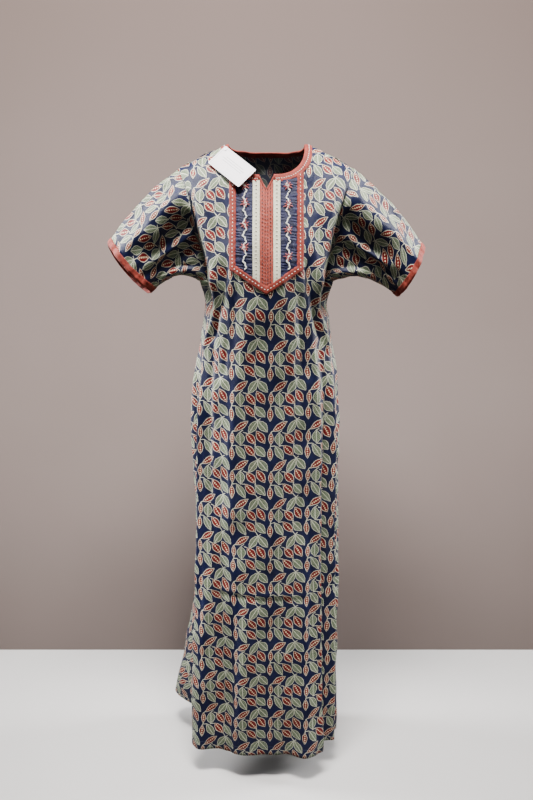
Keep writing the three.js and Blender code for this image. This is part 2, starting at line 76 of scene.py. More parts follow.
# The big folds of the skirt: angle round the body, how far out at the hem, width in degrees,
# where each starts, and how its growth bends.
bigFolds = [(-122, 0.110, 19, -0.84, 1.1), (-50, 0.024, 13, -0.70, 1.2),
            (30, 0.026, 13, -0.76, 1.2), (150, 0.022, 16, -0.60, 1.2),
            (-97, -0.072, 14, -0.60, 1.0), (-55, 0.014, 9, -0.56, 1.0)]

# Smaller folds that the cloth falls into: angle at the top and at the bottom, height at the top
# and at the bottom, how far it stands out (or in), and its width in degrees.
drapeFolds = [
    (-64, -60, -0.34, -1.60, 0.0120, 4.0), (-73, -69, -0.38, -1.60, -0.0120, 5.0),
    (-52, -50, -0.30, -0.80, -0.0060, 4.0), (-84, -84, -0.36, -0.90, 0.0060, 4.5),
    (-38, -40, -0.45, -1.60, -0.0070, 9.0), (-16, -20, -0.80, -1.60, 0.0070, 8.0),
    (4, 6, -0.85, -1.60, -0.0050, 9.0), (20, 17, -0.95, -1.60, -0.0040, 6.0),
    (44, 42, -0.25, -1.60, 0.0100, 4.2), (53, 51, -0.28, -1.60, -0.0110, 4.2),
    (62, 64, -0.26, -1.60, 0.0110, 4.0), (76, 75, -0.38, -1.60, -0.0100, 5.5),
    (34, 66, -0.18, -0.44, 0.0060, 3.5), (26, 58, -0.20, -0.42, -0.0060, 3.8),
    (-34, -66, -0.18, -0.44, 0.0060, 3.5), (-26, -58, -0.20, -0.42, -0.0055, 3.8),
    (30, 28, -0.36, -0.90, -0.0050, 5.0), (-24, -28, -0.40, -0.86, 0.0045, 6.0),
    (62, 76, -0.06, -0.36, -0.0240, 11.0), (-62, -76, -0.06, -0.36, -0.0240, 11.0),
    (42, 50, -0.07, -0.30, 0.0065, 5.5), (-42, -50, -0.07, -0.30, 0.0065, 5.5),
    (26, 36, -0.24, -0.50, -0.0050, 5.0), (-26, -38, -0.24, -0.50, -0.0050, 5.0),
    (100, 98, -0.30, -1.60, -0.0050, 6.0), (112, 114, -0.50, -1.60, 0.0060, 7.0),
    (128, 126, -0.60, -1.60, -0.0070, 8.0), (168, 170, -0.50, -1.60, 0.0060, 8.0),
    (182, 186, -0.60, -1.60, -0.0070, 8.0), (200, 204, -0.45, -1.60, 0.0070, 8.0),
    (-138, -140, -0.55, -1.60, -0.0080, 8.0), (-104, -102, -0.40, -1.60, 0.0050, 6.0),
    (-96, -96, -0.34, -1.60, -0.0050, 5.0), (140, 158, -0.16, -0.40, -0.0050, 7.0),
    (-140, -158, -0.16, -0.40, -0.0050, 7.0),
]

# Waves all over the cloth, by their height, and the level crease of a folded and pressed gown
waves = {"broad": 0.0022, "middle": 0.0014, "fine": 0.0007}
crease = {"z": -0.997, "wander": 0.004, "angle": -6, "reach": 40, "fade": 12,
          "ridge": (0.0036, 0.0032), "valley": (0.0026, 0.005), "apart": 0.009}


def smooth(t):
    # 0 below 0, 1 above 1, and 3t^2 - 2t^3 between
    t = np.clip(t, 0, 1)
    return t * t * (3 - 2 * t)


def throughPairs(pairs, z):
    # cubic Hermite curve through (height, value) pairs, with central slopes
    h, y = np.array(pairs, float)[::-1].T
    m = np.gradient(y)
    m[1:-1] = (y[2:] - y[:-2]) / (h[2:] - h[:-2])
    m[0], m[-1] = (y[1] - y[0]) / (h[1] - h[0]), (y[-1] - y[-2]) / (h[-1] - h[-2])
    z = np.clip(z, h[0], h[-1])
    i = np.clip(np.searchsorted(h, z, side="right") - 1, 0, len(h) - 2)
    w = h[i + 1] - h[i]
    t = (z - h[i]) / w
    start = (1 + 2 * t) * (1 - t) ** 2 * y[i] + t * (1 - t) ** 2 * w * m[i]
    return start + t * t * (3 - 2 * t) * y[i + 1] - t * t * (1 - t) * w * m[i + 1]


def halfWidth(z):
    return throughPairs(cut["halfWidth"], z)


def shoulderZ(x):
    # the shoulder line falls as the 1.25th power of the way from the neck to the tip
    share = (np.abs(x) - cut["neckHalf"]) / (cut["tipX"] - cut["neckHalf"])
    return -cut["tipDrop"] * np.maximum(share, 0) ** 1.25


armMiddle = (cut["underarmZ"] - cut["tipDrop"]) / 2
armHalf = -cut["tipDrop"] - armMiddle


def armholeX(z):
    # a cosine from the shoulder tip to the underarm, bowed towards the chest
    cos = np.clip((z - armMiddle) / armHalf, -1, 1)
    centre = (cut["tipX"] + cut["underarmX"]) / 2
    return centre + (cut["tipX"] - centre) * cos - cut["armholeBow"] * np.sqrt(1 - cos * cos)


def drape(theta, z):
    # how far the cloth stands out from the plain form: a sum of ridges, each a Gaussian across
    # and faded in and out along its length, plus slow waves and small crumples
    out = np.zeros(np.broadcast(theta, z).shape)
    for top, bottom, zTop, zBottom, height, width in drapeFolds:
        t = (zTop - z) / (zTop - zBottom)
        away = (theta - (top + (bottom - top) * t) + 540) % 360 - 180
        out += height * smooth(t / 0.3) * smooth((1 - t) / 0.12) * np.exp(-((away / width) ** 2))
    a = np.radians(theta)
    low = smooth((-0.30 - z) / 0.8)
    out += waves["broad"] * low * np.sin(9 * a + 5 * np.sin(2.3 * z) + 1.5 * np.sin(3 * a))
    out += waves["middle"] * np.sin(14 * a - 26 * z + 2.2 * np.sin(5 * a + 9 * z))
    out += waves["fine"] * np.sin(31 * a + 47 * z + 2.0 * np.sin(11 * a - 17 * z))
    level = z - crease["z"] + crease["wander"] * np.sin(3 * a)
    fromMiddle = np.abs((theta - crease["angle"] + 540) % 360 - 180)
    (up, narrow), (down, wide) = crease["ridge"], crease["valley"]
    out += smooth((crease["reach"] - fromMiddle) / crease["fade"]) * (
        up * np.exp(-((level / narrow) ** 2))
        - down * np.exp(-(((level + crease["apart"]) / wide) ** 2)))
    return out


def plainGown(theta, z):
    # an ellipse at each height whose front and back depths differ, rounded off over the shoulders
    a = np.radians(theta)
    sin, cos = np.sin(a), np.cos(a)
    wide = halfWidth(z)
    front = cos >= 0
    depth = np.where(front, throughPairs(cut["frontDepth"], z), throughPairs(cut["backDepth"], z))
    x = wide * sin
    backTurn = cut["backRound"] + (cut["frontRound"] - cut["backRound"]) * smooth(
        np.abs(x) / cut["underarmX"])
    below = np.clip((shoulderZ(x) - z) / np.where(front, cut["frontRound"], backTurn), 0, 1)
    turned = np.sqrt(np.maximum(1 - (1 - below) ** 2, 0))
    fall = np.clip((cut["underarmZ"] - z) / (cut["underarmZ"] - cut["hemZ"]), 0, 1.1)
    out = np.zeros_like(x)
    for angle, far, spread, start, growth in bigFolds:
        grown = np.clip((start - z) / (start - cut["hemZ"]), 0, 1.1) ** growth
        away = (theta - angle + 540) % 360 - 180
        out = out + far * grown * np.exp(-((away / spread) ** 2))
    px = (wide + out) * sin
    py = -(depth + out) * cos * turned
    away = (theta - cut["flareAngle"] + 540) % 360 - 180
    rise = cut["flareRise"] * np.exp(-(away / cut["flareWidth"]) ** 2) * fall ** 4
    return np.stack([px, py, z + rise], -1)


def unit(v):
    return v / np.maximum(np.linalg.norm(v, axis=-1, keepdims=True), 1e-12)


def gownPoint(theta, z, lift=0.0):
    # the plain form moved along its own normal by the drape and the lift
    theta, z = np.broadcast_arrays(np.asarray(theta, float), np.asarray(z, float))
    dA, dZ = 0.4, 0.0012
    alongA = plainGown(theta + dA, z) - plainGown(theta - dA, z)
    alongZ = plainGown(theta, z) - plainGown(theta, z - dZ)
    normal = unit(np.cross(alongA, alongZ))
    return plainGown(theta, z) + normal * (drape(theta, z) + lift)[..., None]


def thetaAt(side, x, z):
    # the angle round the body of a point of the chest (side -1) or the back (side 1)
    turn = np.degrees(np.arcsin(np.clip(x / halfWidth(z), -1, 1)))
    return np.where(side < 0, turn, 180 - turn)


def armholeDip(x, z):
    # the seam draws the cloth in by a millimetre or two beside the armhole
    near = np.where(z > cut["underarmZ"], armholeX(z) - np.abs(x), 1.0)
    return -0.0016 * np.exp(-((near / 0.0035) ** 2))


# The sleeves, seen from the front with x measured outwards.
sleeveCut = {
    "right": {"side": -1, "top": (0.344, -0.203), "bottom": (0.255, -0.308), "depth": 0.043,
              "hang": 0.024},
    "left": {"side": 1, "top": (0.343, -0.213), "bottom": (0.291, -0.318), "depth": 0.052,
             "hang": 0.006},
}
# Folds of a sleeve: angle at the armhole and at the cuff, where it fades in and out along the
# sleeve, how far it stands out, and its width in degrees. 0 is on top and 90 is in front.
sleeveFolds = [
    (116, 124, -0.35, 0.98, -0.0320, 36), (54, 62, -0.30, 1.15, 0.0120, 15),
    (78, 96, -0.10, 0.80, -0.0100, 9), (96, 112, 0.10, 0.95, 0.0070, 9),
    (30, 24, 0.00, 0.90, -0.0050, 10),
    (128, 138, -0.10, 0.95, 0.0050, 12), (150, 150, 0.10, 1.30, -0.0040, 12),
    (84, 92, 0.30, 1.35, 0.0035, 13), (44, 48, 0.40, 1.40, -0.0035, 12),
    (10, 8, 0.20, 1.30, 0.0020, 10), (205, 215, 0.00, 1.30, 0.0050, 14),
    (240, 240, -0.20, 0.90, -0.0070, 14), (275, 270, 0.00, 1.20, 0.0050, 14),
    (310, 305, -0.20, 0.80, -0.0070, 14), (335, 335, 0.20, 1.20, 0.0030, 12),
]


def armholeZ(angle):
    return armMiddle + armHalf * np.cos(np.radians(angle))


def plainSleeve(name, angle, s):
    # straight from the armhole to the cuff, arched up on top and underneath
    piece = sleeveCut[name]
    a = np.radians(angle)
    sin, cos = np.sin(a), np.cos(a)
    z = armholeZ(angle)
    x = armholeX(z)
    front = np.where(sin >= 0, -1, 1)
    start = gownPoint(thetaAt(front, x, z), z, armholeDip(x, z))
    hang = piece["hang"] * np.maximum(-sin, 0)
    (topX, topZ), (lowX, lowZ) = piece["top"], piece["bottom"]
    end = np.stack([lowX + (topX - lowX) * (1 + cos) / 2 + 0.6 * hang, -piece["depth"] * sin,
                    lowZ + (topZ - lowZ) * (1 + cos) / 2 - 0.8 * hang], -1)
    p = start + (end - start) * s[..., None]
    rise = np.where(cos > 0, 0.014 * cos, -0.022 * cos)
    p[..., 2] += rise * np.sin(np.pi * np.clip(s, 0, 1))
    p[..., 0] *= piece["side"]
    return p


def sleevePoint(name, angle, s, lift=0.0):
    # the plain sleeve moved along its normal by its folds and the lift
    angle, s = np.broadcast_arrays(np.asarray(angle, float), np.asarray(s, float))
    side = sleeveCut[name]["side"]
    alongA = plainSleeve(name, angle + 1.0, s) - plainSleeve(name, angle - 1.0, s)
    alongS = plainSleeve(name, angle, s + 0.01) - plainSleeve(name, angle, s - 0.01)
    normal = unit(np.cross(alongA, alongS)) * side
    out = np.zeros(angle.shape)
    for first, last, fadeIn, fadeOut, height, width in sleeveFolds:
        t = np.clip((s - fadeIn) / (fadeOut - fadeIn), 0, 1)
        away = (angle - (first + (last - first) * s) + 540) % 360 - 180
        out += height * np.sin(np.pi * t) ** 0.8 * np.exp(-((away / width) ** 2))
    a = np.radians(angle)
    out += 0.0012 * np.sin(8 * a + 9 * s + side) * np.sin(np.pi * np.clip(s, 0, 1))
    out += 0.0006 * np.sin(19 * a - 23 * s + 2 * np.sin(7 * s + side))
    out *= smooth(s / 0.08)
    return plainSleeve(name, angle, s) + normal * (out + lift)[..., None]


def newObject(name, points, faces, material, body="gown"):
    mesh = bpy.data.meshes.new(name)
    mesh.vertices.add(len(points))
    mesh.vertices.foreach_set("co", np.ascontiguousarray(points, np.float32).ravel())
    faces = np.asarray(faces, np.int32)
    mesh.loops.add(faces.size)
    mesh.loops.foreach_set("vertex_index", faces.ravel())
    mesh.polygons.add(len(faces))
    starts = np.arange(0, faces.size, faces.shape[1], dtype=np.int32)
    mesh.polygons.foreach_set("loop_start", starts)
    mesh.update(calc_edges=True)
    mesh.validate()
    mesh.shade_smooth()
    obj = bpy.data.objects.new(name, mesh)
    bpy.context.scene.collection.objects.link(obj)
    mesh.materials.append(material)
    if body:
        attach(obj, body)
    return obj


def standFor(obj, node):
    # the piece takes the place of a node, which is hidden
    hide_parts(node)
    return obj


def gridFaces(rows, columns, closeColumns=False, offset=0):
    # quads between neighbouring rows and columns
    i = np.arange(rows - 1)[:, None]
    j = np.arange(columns if closeColumns else columns - 1)[None, :]
    k = (j + 1) % columns
    quads = np.stack([i * columns + j, i * columns + k, (i + 1) * columns + k,
                      (i + 1) * columns + j], -1)
    return quads.reshape(-1, 4) + offset


def shell(name, outer, inner, material, body="gown", clothUv=None, closeColumns=False, hem=None):
    # a sheet with a thickness: an outer grid, an inner grid and the rim that joins them. The
    # faces are turned to point out, measured on the grid's own normals
    rows, columns = outer.shape[:2]
    count = rows * columns
    points = np.concatenate([outer.reshape(-1, 3), inner.reshape(-1, 3)])
    top = gridFaces(rows, columns, closeColumns)
    bottom = gridFaces(rows, columns, closeColumns, count)[:, ::-1]
    ring = [np.arange(columns), np.arange(columns) + (rows - 1) * columns]
    rims = []
    for edge, flip in ((ring[0], False), (ring[1], True)):
        if closeColumns:
            edge = np.append(edge, edge[0])
        a, b = edge[:-1], edge[1:]
        quad = np.stack([a, a + count, b + count, b], -1)
        rims.append(quad[:, ::-1] if flip else quad)
    if not closeColumns:
        for edge, flip in ((np.arange(rows) * columns, True),
                           (np.arange(rows) * columns + columns - 1, False)):
            a, b = edge[:-1], edge[1:]
            quad = np.stack([a, a + count, b + count, b], -1)
            rims.append(quad[:, ::-1] if flip else quad)
    faces = np.concatenate([top, bottom, *rims])
    p, q, r = (points[top[:, n]] for n in (0, 1, 2))
    outwards = points[top[:, 0]] - points[top[:, 0] + count]
    facing = np.einsum("ij,ij->i", np.cross(q - p, r - p), outwards)
    if facing.sum() < 0:
        faces = faces[:, ::-1]
    obj = newObject(name, points, faces, material, body)
    mesh = obj.data
    loops = np.zeros(len(mesh.loops), np.int32)
    mesh.loops.foreach_get("vertex_index", loops)
    if clothUv is not None:
        both = np.concatenate([clothUv.reshape(-1, 2)] * 2)
        layer = mesh.uv_layers.new(name="cloth")
        layer.data.foreach_set("uv", both[loops].astype(np.float32).ravel())
    mark = mesh.attributes.new("wrongSide", "FLOAT", "POINT")
    mark.data.foreach_set("value", np.repeat([0.0, 1.0], count).astype(np.float32))
    if hem is not None:
        mark = mesh.attributes.new("fromHem", "FLOAT", "POINT")
        mark.data.foreach_set("value", np.tile(hem.ravel(), 2).astype(np.float32))
    # the map that finished colours are stored in: the outer side takes four fifths of it
    i, j = np.meshgrid(np.linspace(0.004, 0.996, rows), np.linspace(0, 1, columns), indexing="ij")
    outerUv = np.stack([0.004 + 0.79 * j, i], -1).reshape(-1, 2)
    innerUv = np.stack([0.81 + 0.186 * j, i], -1).reshape(-1, 2)
    uv = np.concatenate([outerUv, innerUv])[loops]
    isTop = np.repeat(loops.reshape(-1, 4).min(1) < count, 4)
    isRim = isTop & np.repeat(loops.reshape(-1, 4).max(1) >= count, 4)
    uv[isRim] = innerUv[loops[isRim] % count]
    if closeColumns:
        # the last strip runs on to the map's edge instead of back to its start
        wraps = np.repeat((loops.reshape(-1, 4) % columns).max(1) == columns - 1, 4)
        atStart = wraps & (loops % columns == 0)
        touches = np.repeat((loops.reshape(-1, 4) % columns).min(1) == 0, 4)
        fix = atStart & touches
        uv[fix, 0] = np.where(uv[fix, 0] > 0.8, 0.996, 0.794 + 0.79 / columns)
    layer = mesh.uv_layers.new(name="OFBake")
    layer.data.foreach_set("uv", uv.astype(np.float32).ravel())
    return obj


def tube(name, section, material, body="gown", closePath=False):
    # a closed section carried along a path: an array of rows, each a ring of points
    rows, count = section.shape[:2]
    points = section.reshape(-1, 3)
    faces = gridFaces(rows, count, True)
    if closePath:
        j = np.arange(count)
        k = (j + 1) % count
        last = (rows - 1) * count
        faces = np.concatenate([faces, np.stack([last + j, last + k, k, j], -1)])
    else:
        ends = []
        for base, flip in ((0, True), ((rows - 1) * count, False)):
            j = np.arange(count // 2 - 1)
            quad = np.stack([j, j + 1, count - 2 - j, count - 1 - j], -1) + base
            ends.append(quad if flip else quad[:, ::-1])
        faces = np.concatenate([faces, *[e[:, ::-1] for e in ends]])
    v = points[faces]
    volume = np.einsum("ij,ij->i", v[:, 0], np.cross(v[:, 1], v[:, 2])).sum()
    volume += np.einsum("ij,ij->i", v[:, 0], np.cross(v[:, 2], v[:, 3])).sum()
    return newObject(name, points, faces if volume > 0 else faces[:, ::-1], material, body)


def stitches(name, centres, along, normal, length, width, height, material, body="gown"):
    # one small ellipsoid for each stitch, stretched along the thread and cut off in the cloth
    bands, around = 4, 8
    lat = np.linspace(-math.pi / 2, math.pi / 2, bands + 1)
    lon = np.arange(around) * 2 * math.pi / around
    ball = np.stack([np.sin(lat)[:, None] + 0 * lon, np.cos(lat)[:, None] * np.cos(lon),
                     np.cos(lat)[:, None] * np.sin(lon)], -1)[1:-1]
    tips = np.array([[-1.0, 0, 0], [1.0, 0, 0]])
    ball = np.concatenate([ball.reshape(-1, 3), tips])
    rings = bands - 1
    quads = gridFaces(rings, around, True)
    j = np.arange(around)
    k = (j + 1) % around
    low, high = rings * around, rings * around + 1
    capA = np.stack([np.full(around, low), k, j, j], -1)
    capB = np.stack([np.full(around, high), j + (rings - 1) * around, k + (rings - 1) * around,
                     k + (rings - 1) * around], -1)
    along, normal = unit(along), unit(normal)
    across = unit(np.cross(normal, along))
    normal = np.cross(along, across)
    axes = np.stack([along * (np.broadcast_to(length, len(centres)) / 2)[:, None],
                     across * (np.broadcast_to(width, len(centres)) / 2)[:, None],
                     normal * (np.broadcast_to(height, len(centres)) / 2)[:, None]], 1)
    points = centres[:, None, :] + np.einsum("tk,nkd->ntd", ball, axes)
    offsets = (np.arange(len(centres)) * len(ball))[:, None, None]
    quads = (quads[None] + offsets).reshape(-1, 4)
    tris = (np.concatenate([capA, capB])[None, :, :3] + offsets).reshape(-1, 3)
    mesh = bpy.data.meshes.new(name)
    mesh.from_pydata(points.reshape(-1, 3).tolist(), [], quads.tolist() + tris.tolist())
    mesh.update()
    mesh.shade_smooth()
    obj = bpy.data.objects.new(name, mesh)
    bpy.context.scene.collection.objects.link(obj)
    mesh.materials.append(material)
    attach(obj, body)
    return obj


# Materials

def feed(tree, socket, value):
    if isinstance(value, bpy.types.NodeSocket):
        tree.links.new(value, socket)
    elif value is not None:
        socket.default_value = value


def add(tree, kind, values=None, **settings):
    node = tree.nodes.new(kind)
    for key, value in settings.items():
        setattr(node, key, value)
    for key, value in (values or {}).items():
        feed(tree, node.inputs[key], value)
    return node


def calc(tree, operation, *terms, clamp=False):
    node = add(tree, "ShaderNodeMath", dict(enumerate(terms)), operation=operation, use_clamp=clamp)
    return node.outputs[0]


def vector(tree, operation, *terms, out=0):
    node = add(tree, "ShaderNodeVectorMath", dict(enumerate(terms)), operation=operation)
    return node.outputs[out]


def blendColour(tree, share, first, second):
    node = add(tree, "ShaderNodeMix", data_type="RGBA")
    feed(tree, node.inputs["Factor"], share)
    feed(tree, node.inputs[6], first)
    feed(tree, node.inputs[7], second)
    return node.outputs[2]


def ramp(tree, value, low, high):
    # 0 below low and 1 above high, smooth between
    return add(tree, "ShaderNodeMapRange", {"Value": value, "From Min": low, "From Max": high},
               interpolation_type="SMOOTHSTEP").outputs[0]


def fade(tree, value, low, high):
    # 1 below low and 0 above high
    return calc(tree, "SUBTRACT", 1.0, ramp(tree, value, low, high))


def noise(tree, place, scale, detail=2.0, out=0):
    node = add(tree, "ShaderNodeTexNoise", {"Vector": place, "Scale": scale, "Detail": detail})
    return node.outputs[out]


def objectPlace(tree):
    return add(tree, "ShaderNodeTexCoord").outputs["Object"]


def split(tree, value):
    return add(tree, "ShaderNodeSeparateXYZ", {0: value}).outputs


def newGroup(name, inputs, outputs):
    group = bpy.data.node_groups.new(name, "ShaderNodeTree")
    for label, kind in inputs:
        group.interface.new_socket(label, in_out="INPUT", socket_type=kind)
    for label, kind in outputs:
        group.interface.new_socket(label, in_out="OUTPUT", socket_type=kind)
    source = group.nodes.new("NodeGroupInput")
    sink = group.nodes.new("NodeGroupOutput")
    return group, source.outputs, sink.inputs


def useGroup(tree, group, values):
    node = add(tree, "ShaderNodeGroup", node_tree=group)
    for key, value in values.items():
        feed(tree, node.inputs[key], value)
    return node.outputs


floatIn, vectorIn, colourIn = "NodeSocketFloat", "NodeSocketVector", "NodeSocketColor"

# The printed leaves, one repeat of the design: centre across and down as shares of the repeat,
# half length and half width in millimetres, and the way each leaf points, across and down.
leafPrint = {
    "repeat": (87.0, 90.7),
    "green": [((0.22, 0.18), 15.3, 10.2, (0.05, 1)), ((0.227, 0.53), 19.2, 8.4, (77, 130)),
              ((0.733, 0.49), 16.6, 9.7, (88, 95)), ((0.55, 0.875), 19.0, 8.4, (83, -125)),
              ((0.80, 0.85), 17.3, 9.2, (85, 105))],
    "red": [((0.494, 0.175), 16.0, 9.2, (80, 97)), ((0.748, 0.13), 17.5, 9.2, (72, 117)),
            ((0.47, 0.48), 16.6, 9.0, (90, 95)), ((0.24, 0.86), 19.5, 7.4, (130, -93)),
            ((0.01, 0.165), 14.8, 5.6, (0, 1)), ((-0.01, 0.56), 15.8, 6.3, (0, 1))],
    "stems": [((0.055, 0.975), (0.005, 1.01)), ((0.672, 0.70), (0.606, 0.613)),
              ((0.672, 0.70), (0.74, 0.66)), ((0.0, 0.357), (0.11, 0.345)),
              ((0.615, 0.311), (0.6, 0.356)), ((0.334, 0.347), (0.22, 0.352)),
              ((0.373, 0.039), (0.30, 0.02)), ((0.22, 0.01), (0.285, -0.035)),
              ((0.01, 0.32), (-0.01, 0.39))],
    "navy": (0.0055, 0.0095, 0.060, 1), "deep": (0.0015, 0.0025, 0.014, 1),
    "cream": (0.70, 0.70, 0.54, 1), "sage": (0.090, 0.135, 0.070, 1),
    "rust ring": (0.33, 0.032, 0.020, 1), "deep red": (0.155, 0.005, 0.006, 1),
    "bead": (0.88, 0.70, 0.46, 1),
}


def wrapped(tree, place, centre, size):
    # the nearest repeat of a place, measured from a centre, in millimetres
    away = vector(tree, "SUBTRACT", place, centre)
    away = vector(tree, "FRACTION", vector(tree, "ADD", away, (0.5, 0.5, 0)))
    return vector(tree, "MULTIPLY", vector(tree, "SUBTRACT", away, (0.5, 0.5, 0)), size)


def leafGroup(size):
    # a leaf whose half width falls off as one less the 1.8th power of the way to its tip
    group, got, put = newGroup(
        "printedLeaf",
        [("Place", vectorIn), ("Centre", vectorIn), ("Angle", floatIn), ("Half length", floatIn),
         ("Half width", floatIn)],
        [("Inside", floatIn), ("Along", floatIn), ("Across", floatIn)])
    tree = group
    away = wrapped(tree, got["Place"], got["Centre"], size)
    turned = add(tree, "ShaderNodeVectorRotate", {"Vector": away, "Angle": got["Angle"]},
                 rotation_type="Z_AXIS").outputs[0]
    parts = split(tree, turned)
    share = calc(tree, "ABSOLUTE", calc(tree, "DIVIDE", parts[0], got["Half length"]))
    width = calc(tree, "SUBTRACT", 1.0, calc(tree, "POWER", share, 1.8))
    across = calc(tree, "ABSOLUTE", parts[1])
    inside = calc(tree, "SUBTRACT", calc(tree, "MULTIPLY", width, got["Half width"]), across)
    feed(tree, put["Inside"], inside)
    feed(tree, put["Along"], parts[0])
    feed(tree, put["Across"], across)
    return group


def stemGroup(size):
    # one less the distance to a short line
    group, got, put = newGroup(
        "printedStem", [("Place", vectorIn), ("From", vectorIn), ("To", vectorIn)],
        [("Line", floatIn)])
    tree = group
    away = wrapped(tree, got["Place"], got["From"], size)
    line = vector(tree, "MULTIPLY", vector(tree, "SUBTRACT", got["To"], got["From"]), size)
    share = calc(tree, "DIVIDE", vector(tree, "DOT_PRODUCT", away, line, out="Value"),
                 vector(tree, "DOT_PRODUCT", line, line, out="Value"), clamp=True)
    along = add(tree, "ShaderNodeVectorMath", {0: line}, operation="SCALE")
    feed(tree, along.inputs["Scale"], share)
    far = vector(tree, "DISTANCE", away, along.outputs[0], out="Value")
    feed(tree, put["Line"], fade(tree, far, 0.45, 0.95))
    return group


def buildPrintGroup():
    # navy ground, cream outlines and stems, then the leaves' fills and their veins or beads
    size = (*leafPrint["repeat"], 1.0)
    leaf, stem = leafGroup(size), stemGroup(size)
    group, got, put = newGroup("leafPrint", [("Cloth", vectorIn)],
                               [("Colour", colourIn), ("Leaf", floatIn)])
    tree = group
    cloth = vector(tree, "MULTIPLY", got["Cloth"], (1000.0, -1000.0, 0.0))
    wobble = noise(tree, cloth, 0.22, 1.0, "Color")
    shift = vector(tree, "MULTIPLY", vector(tree, "SUBTRACT", wobble, (0.5, 0.5, 0.5)),
                   (2.4, 2.4, 0.0))
    place = vector(tree, "DIVIDE", vector(tree, "ADD", cloth, shift), size)

    def leaves(rows):
        made = []
        for centre, halfLength, halfAcross, (right, down) in rows:
            out = useGroup(tree, leaf, {"Place": place, "Centre": (*centre, 0.0),
                                        "Angle": -math.atan2(down, right),
                                        "Half length": halfLength, "Half width": halfAcross})
            made.append(out)
        return made

    def largest(values):
        total = values[0]
        for value in values[1:]:
            total = calc(tree, "MAXIMUM", total, value)
        return total

    greens, reds = leaves(leafPrint["green"]), leaves(leafPrint["red"])
    veins, beads = [], []
    for out in greens:
        midrib = fade(tree, out["Across"], 0.45, 0.85)
        slant = calc(tree, "ADD", out["Along"], calc(tree, "MULTIPLY", out["Across"], 0.9))
        wave = calc(tree, "PINGPONG", slant, 1.9)
        side = calc(tree, "MULTIPLY", fade(tree, wave, 0.25, 0.65), 0.55)
        mark = calc(tree, "MAXIMUM", midrib, side)
        veins.append(calc(tree, "MULTIPLY", mark, ramp(tree, out["Inside"], 1.5, 2.4)))
    for out in reds:
        wave = calc(tree, "PINGPONG", out["Along"], 2.6)
        fromKnot = calc(tree, "ADD", calc(tree, "POWER", wave, 2.0),
                        calc(tree, "POWER", out["Across"], 2.0))
        dot = fade(tree, fromKnot, 1.6, 3.4)
        beads.append(calc(tree, "MULTIPLY", dot, ramp(tree, out["Inside"], 1.9, 2.9)))
    greenInside = largest([out["Inside"] for out in greens])
    redInside = largest([out["Inside"] for out in reds])
    lines = [useGroup(tree, stem, {"Place": place, "From": (*a, 0.0), "To": (*b, 0.0)})["Line"]
             for a, b in leafPrint["stems"]]
    outline = ramp(tree, calc(tree, "MAXIMUM", greenInside, redInside), -0.45, 0.05)
    outline = calc(tree, "MAXIMUM", outline, largest(lines))
    mottle = noise(tree, cloth, 0.06, 3.0)
    ground = blendColour(tree, mottle, leafPrint["deep"], leafPrint["navy"])
    colour = blendColour(tree, outline, ground, leafPrint["cream"])
    sage = blendColour(tree, mottle, leafPrint["sage"], tuple(
        0.75 * n for n in leafPrint["sage"][:3]) + (1,))
    colour = blendColour(tree, ramp(tree, greenInside, 0.65, 1.25), colour, sage)
    colour = blendColour(tree, largest(veins), colour, leafPrint["cream"])
    colour = blendColour(tree, ramp(tree, redInside, 0.65, 1.25), colour, leafPrint["rust ring"])
    colour = blendColour(tree, ramp(tree, redInside, 1.3, 2.2), colour, leafPrint["deep red"])
    colour = blendColour(tree, largest(beads), colour, leafPrint["bead"])
    feed(tree, put["Colour"], colour)
    feed(tree, put["Leaf"], outline)
    return group


def buildWeaveGroup():
    # warp and weft threads as crossed sine waves, uneven along their length
    group, got, put = newGroup("weave", [("Place", vectorIn), ("Threads per metre", floatIn)],
                               [("Height", floatIn), ("Slub", floatIn)])
    tree = group
    scaled = add(tree, "ShaderNodeVectorMath", {0: got["Place"]}, operation="SCALE")
    turns = calc(tree, "MULTIPLY", got["Threads per metre"], 2 * math.pi)
    feed(tree, scaled.inputs["Scale"], turns)
    parts = split(tree, scaled.outputs[0])
    warp, weft = calc(tree, "SINE", parts[0]), calc(tree, "SINE", parts[1])
    slub = noise(tree, got["Place"], 700.0)
    height = calc(tree, "MULTIPLY", calc(tree, "MULTIPLY", warp, weft), 0.5)
    feed(tree, put["Height"], calc(tree, "ADD", height, slub))
    feed(tree, put["Slub"], slub)
    return group


printGroup, weaveGroup = buildPrintGroup(), buildWeaveGroup()


def startMaterial(name, **sockets):
    material = bpy.data.materials.new(name)
    material.use_nodes = True
    tree = material.node_tree
    shader = tree.nodes["Principled BSDF"]
    for key, value in sockets.items():
        shader.inputs[key].default_value = value
    return material, tree, shader


def bump(tree, shader, height, distance, strength=1.0):
    node = add(tree, "ShaderNodeBump",
               {"Height": height, "Strength": strength, "Distance": distance})
    feed(tree, shader.inputs["Normal"], node.outputs[0])


cottonFinish = {
    "print": {"roughness": 0.40, "sheen": 0.05, "threads": 1600.0, "bump": 0.00012},
    "rust": {"colour": (0.31, 0.042, 0.025, 1), "shade": (0.16, 0.018, 0.012, 1)},
    "strip": {"colour": (0.42, 0.085, 0.058, 1), "shade": (0.26, 0.042, 0.030, 1)},
    "navy": {"colour": (0.0065, 0.0075, 0.050, 1), "shade": (0.0022, 0.0028, 0.018, 1)},
    "lace": {"colour": (0.80, 0.77, 0.60, 1), "shade": (0.55, 0.52, 0.38, 1)},
    "lining": {"colour": (0.25, 0.26, 0.30, 1), "shade": (0.17, 0.18, 0.21, 1)},
    # for the threads, shade is painted shade in the grooves of the twist; for the cloths it is a
    # darker tone mottled at random
    "thread": {"colour": (0.86, 0.84, 0.78, 1), "shade": (0.60, 0.58, 0.52, 1)},
    "coral": {"colour": (0.42, 0.055, 0.050, 1), "shade": (0.22, 0.022, 0.022, 1)},
    "maroon": {"colour": (0.085, 0.008, 0.008, 1), "shade": (0.04, 0.004, 0.004, 1)},
}


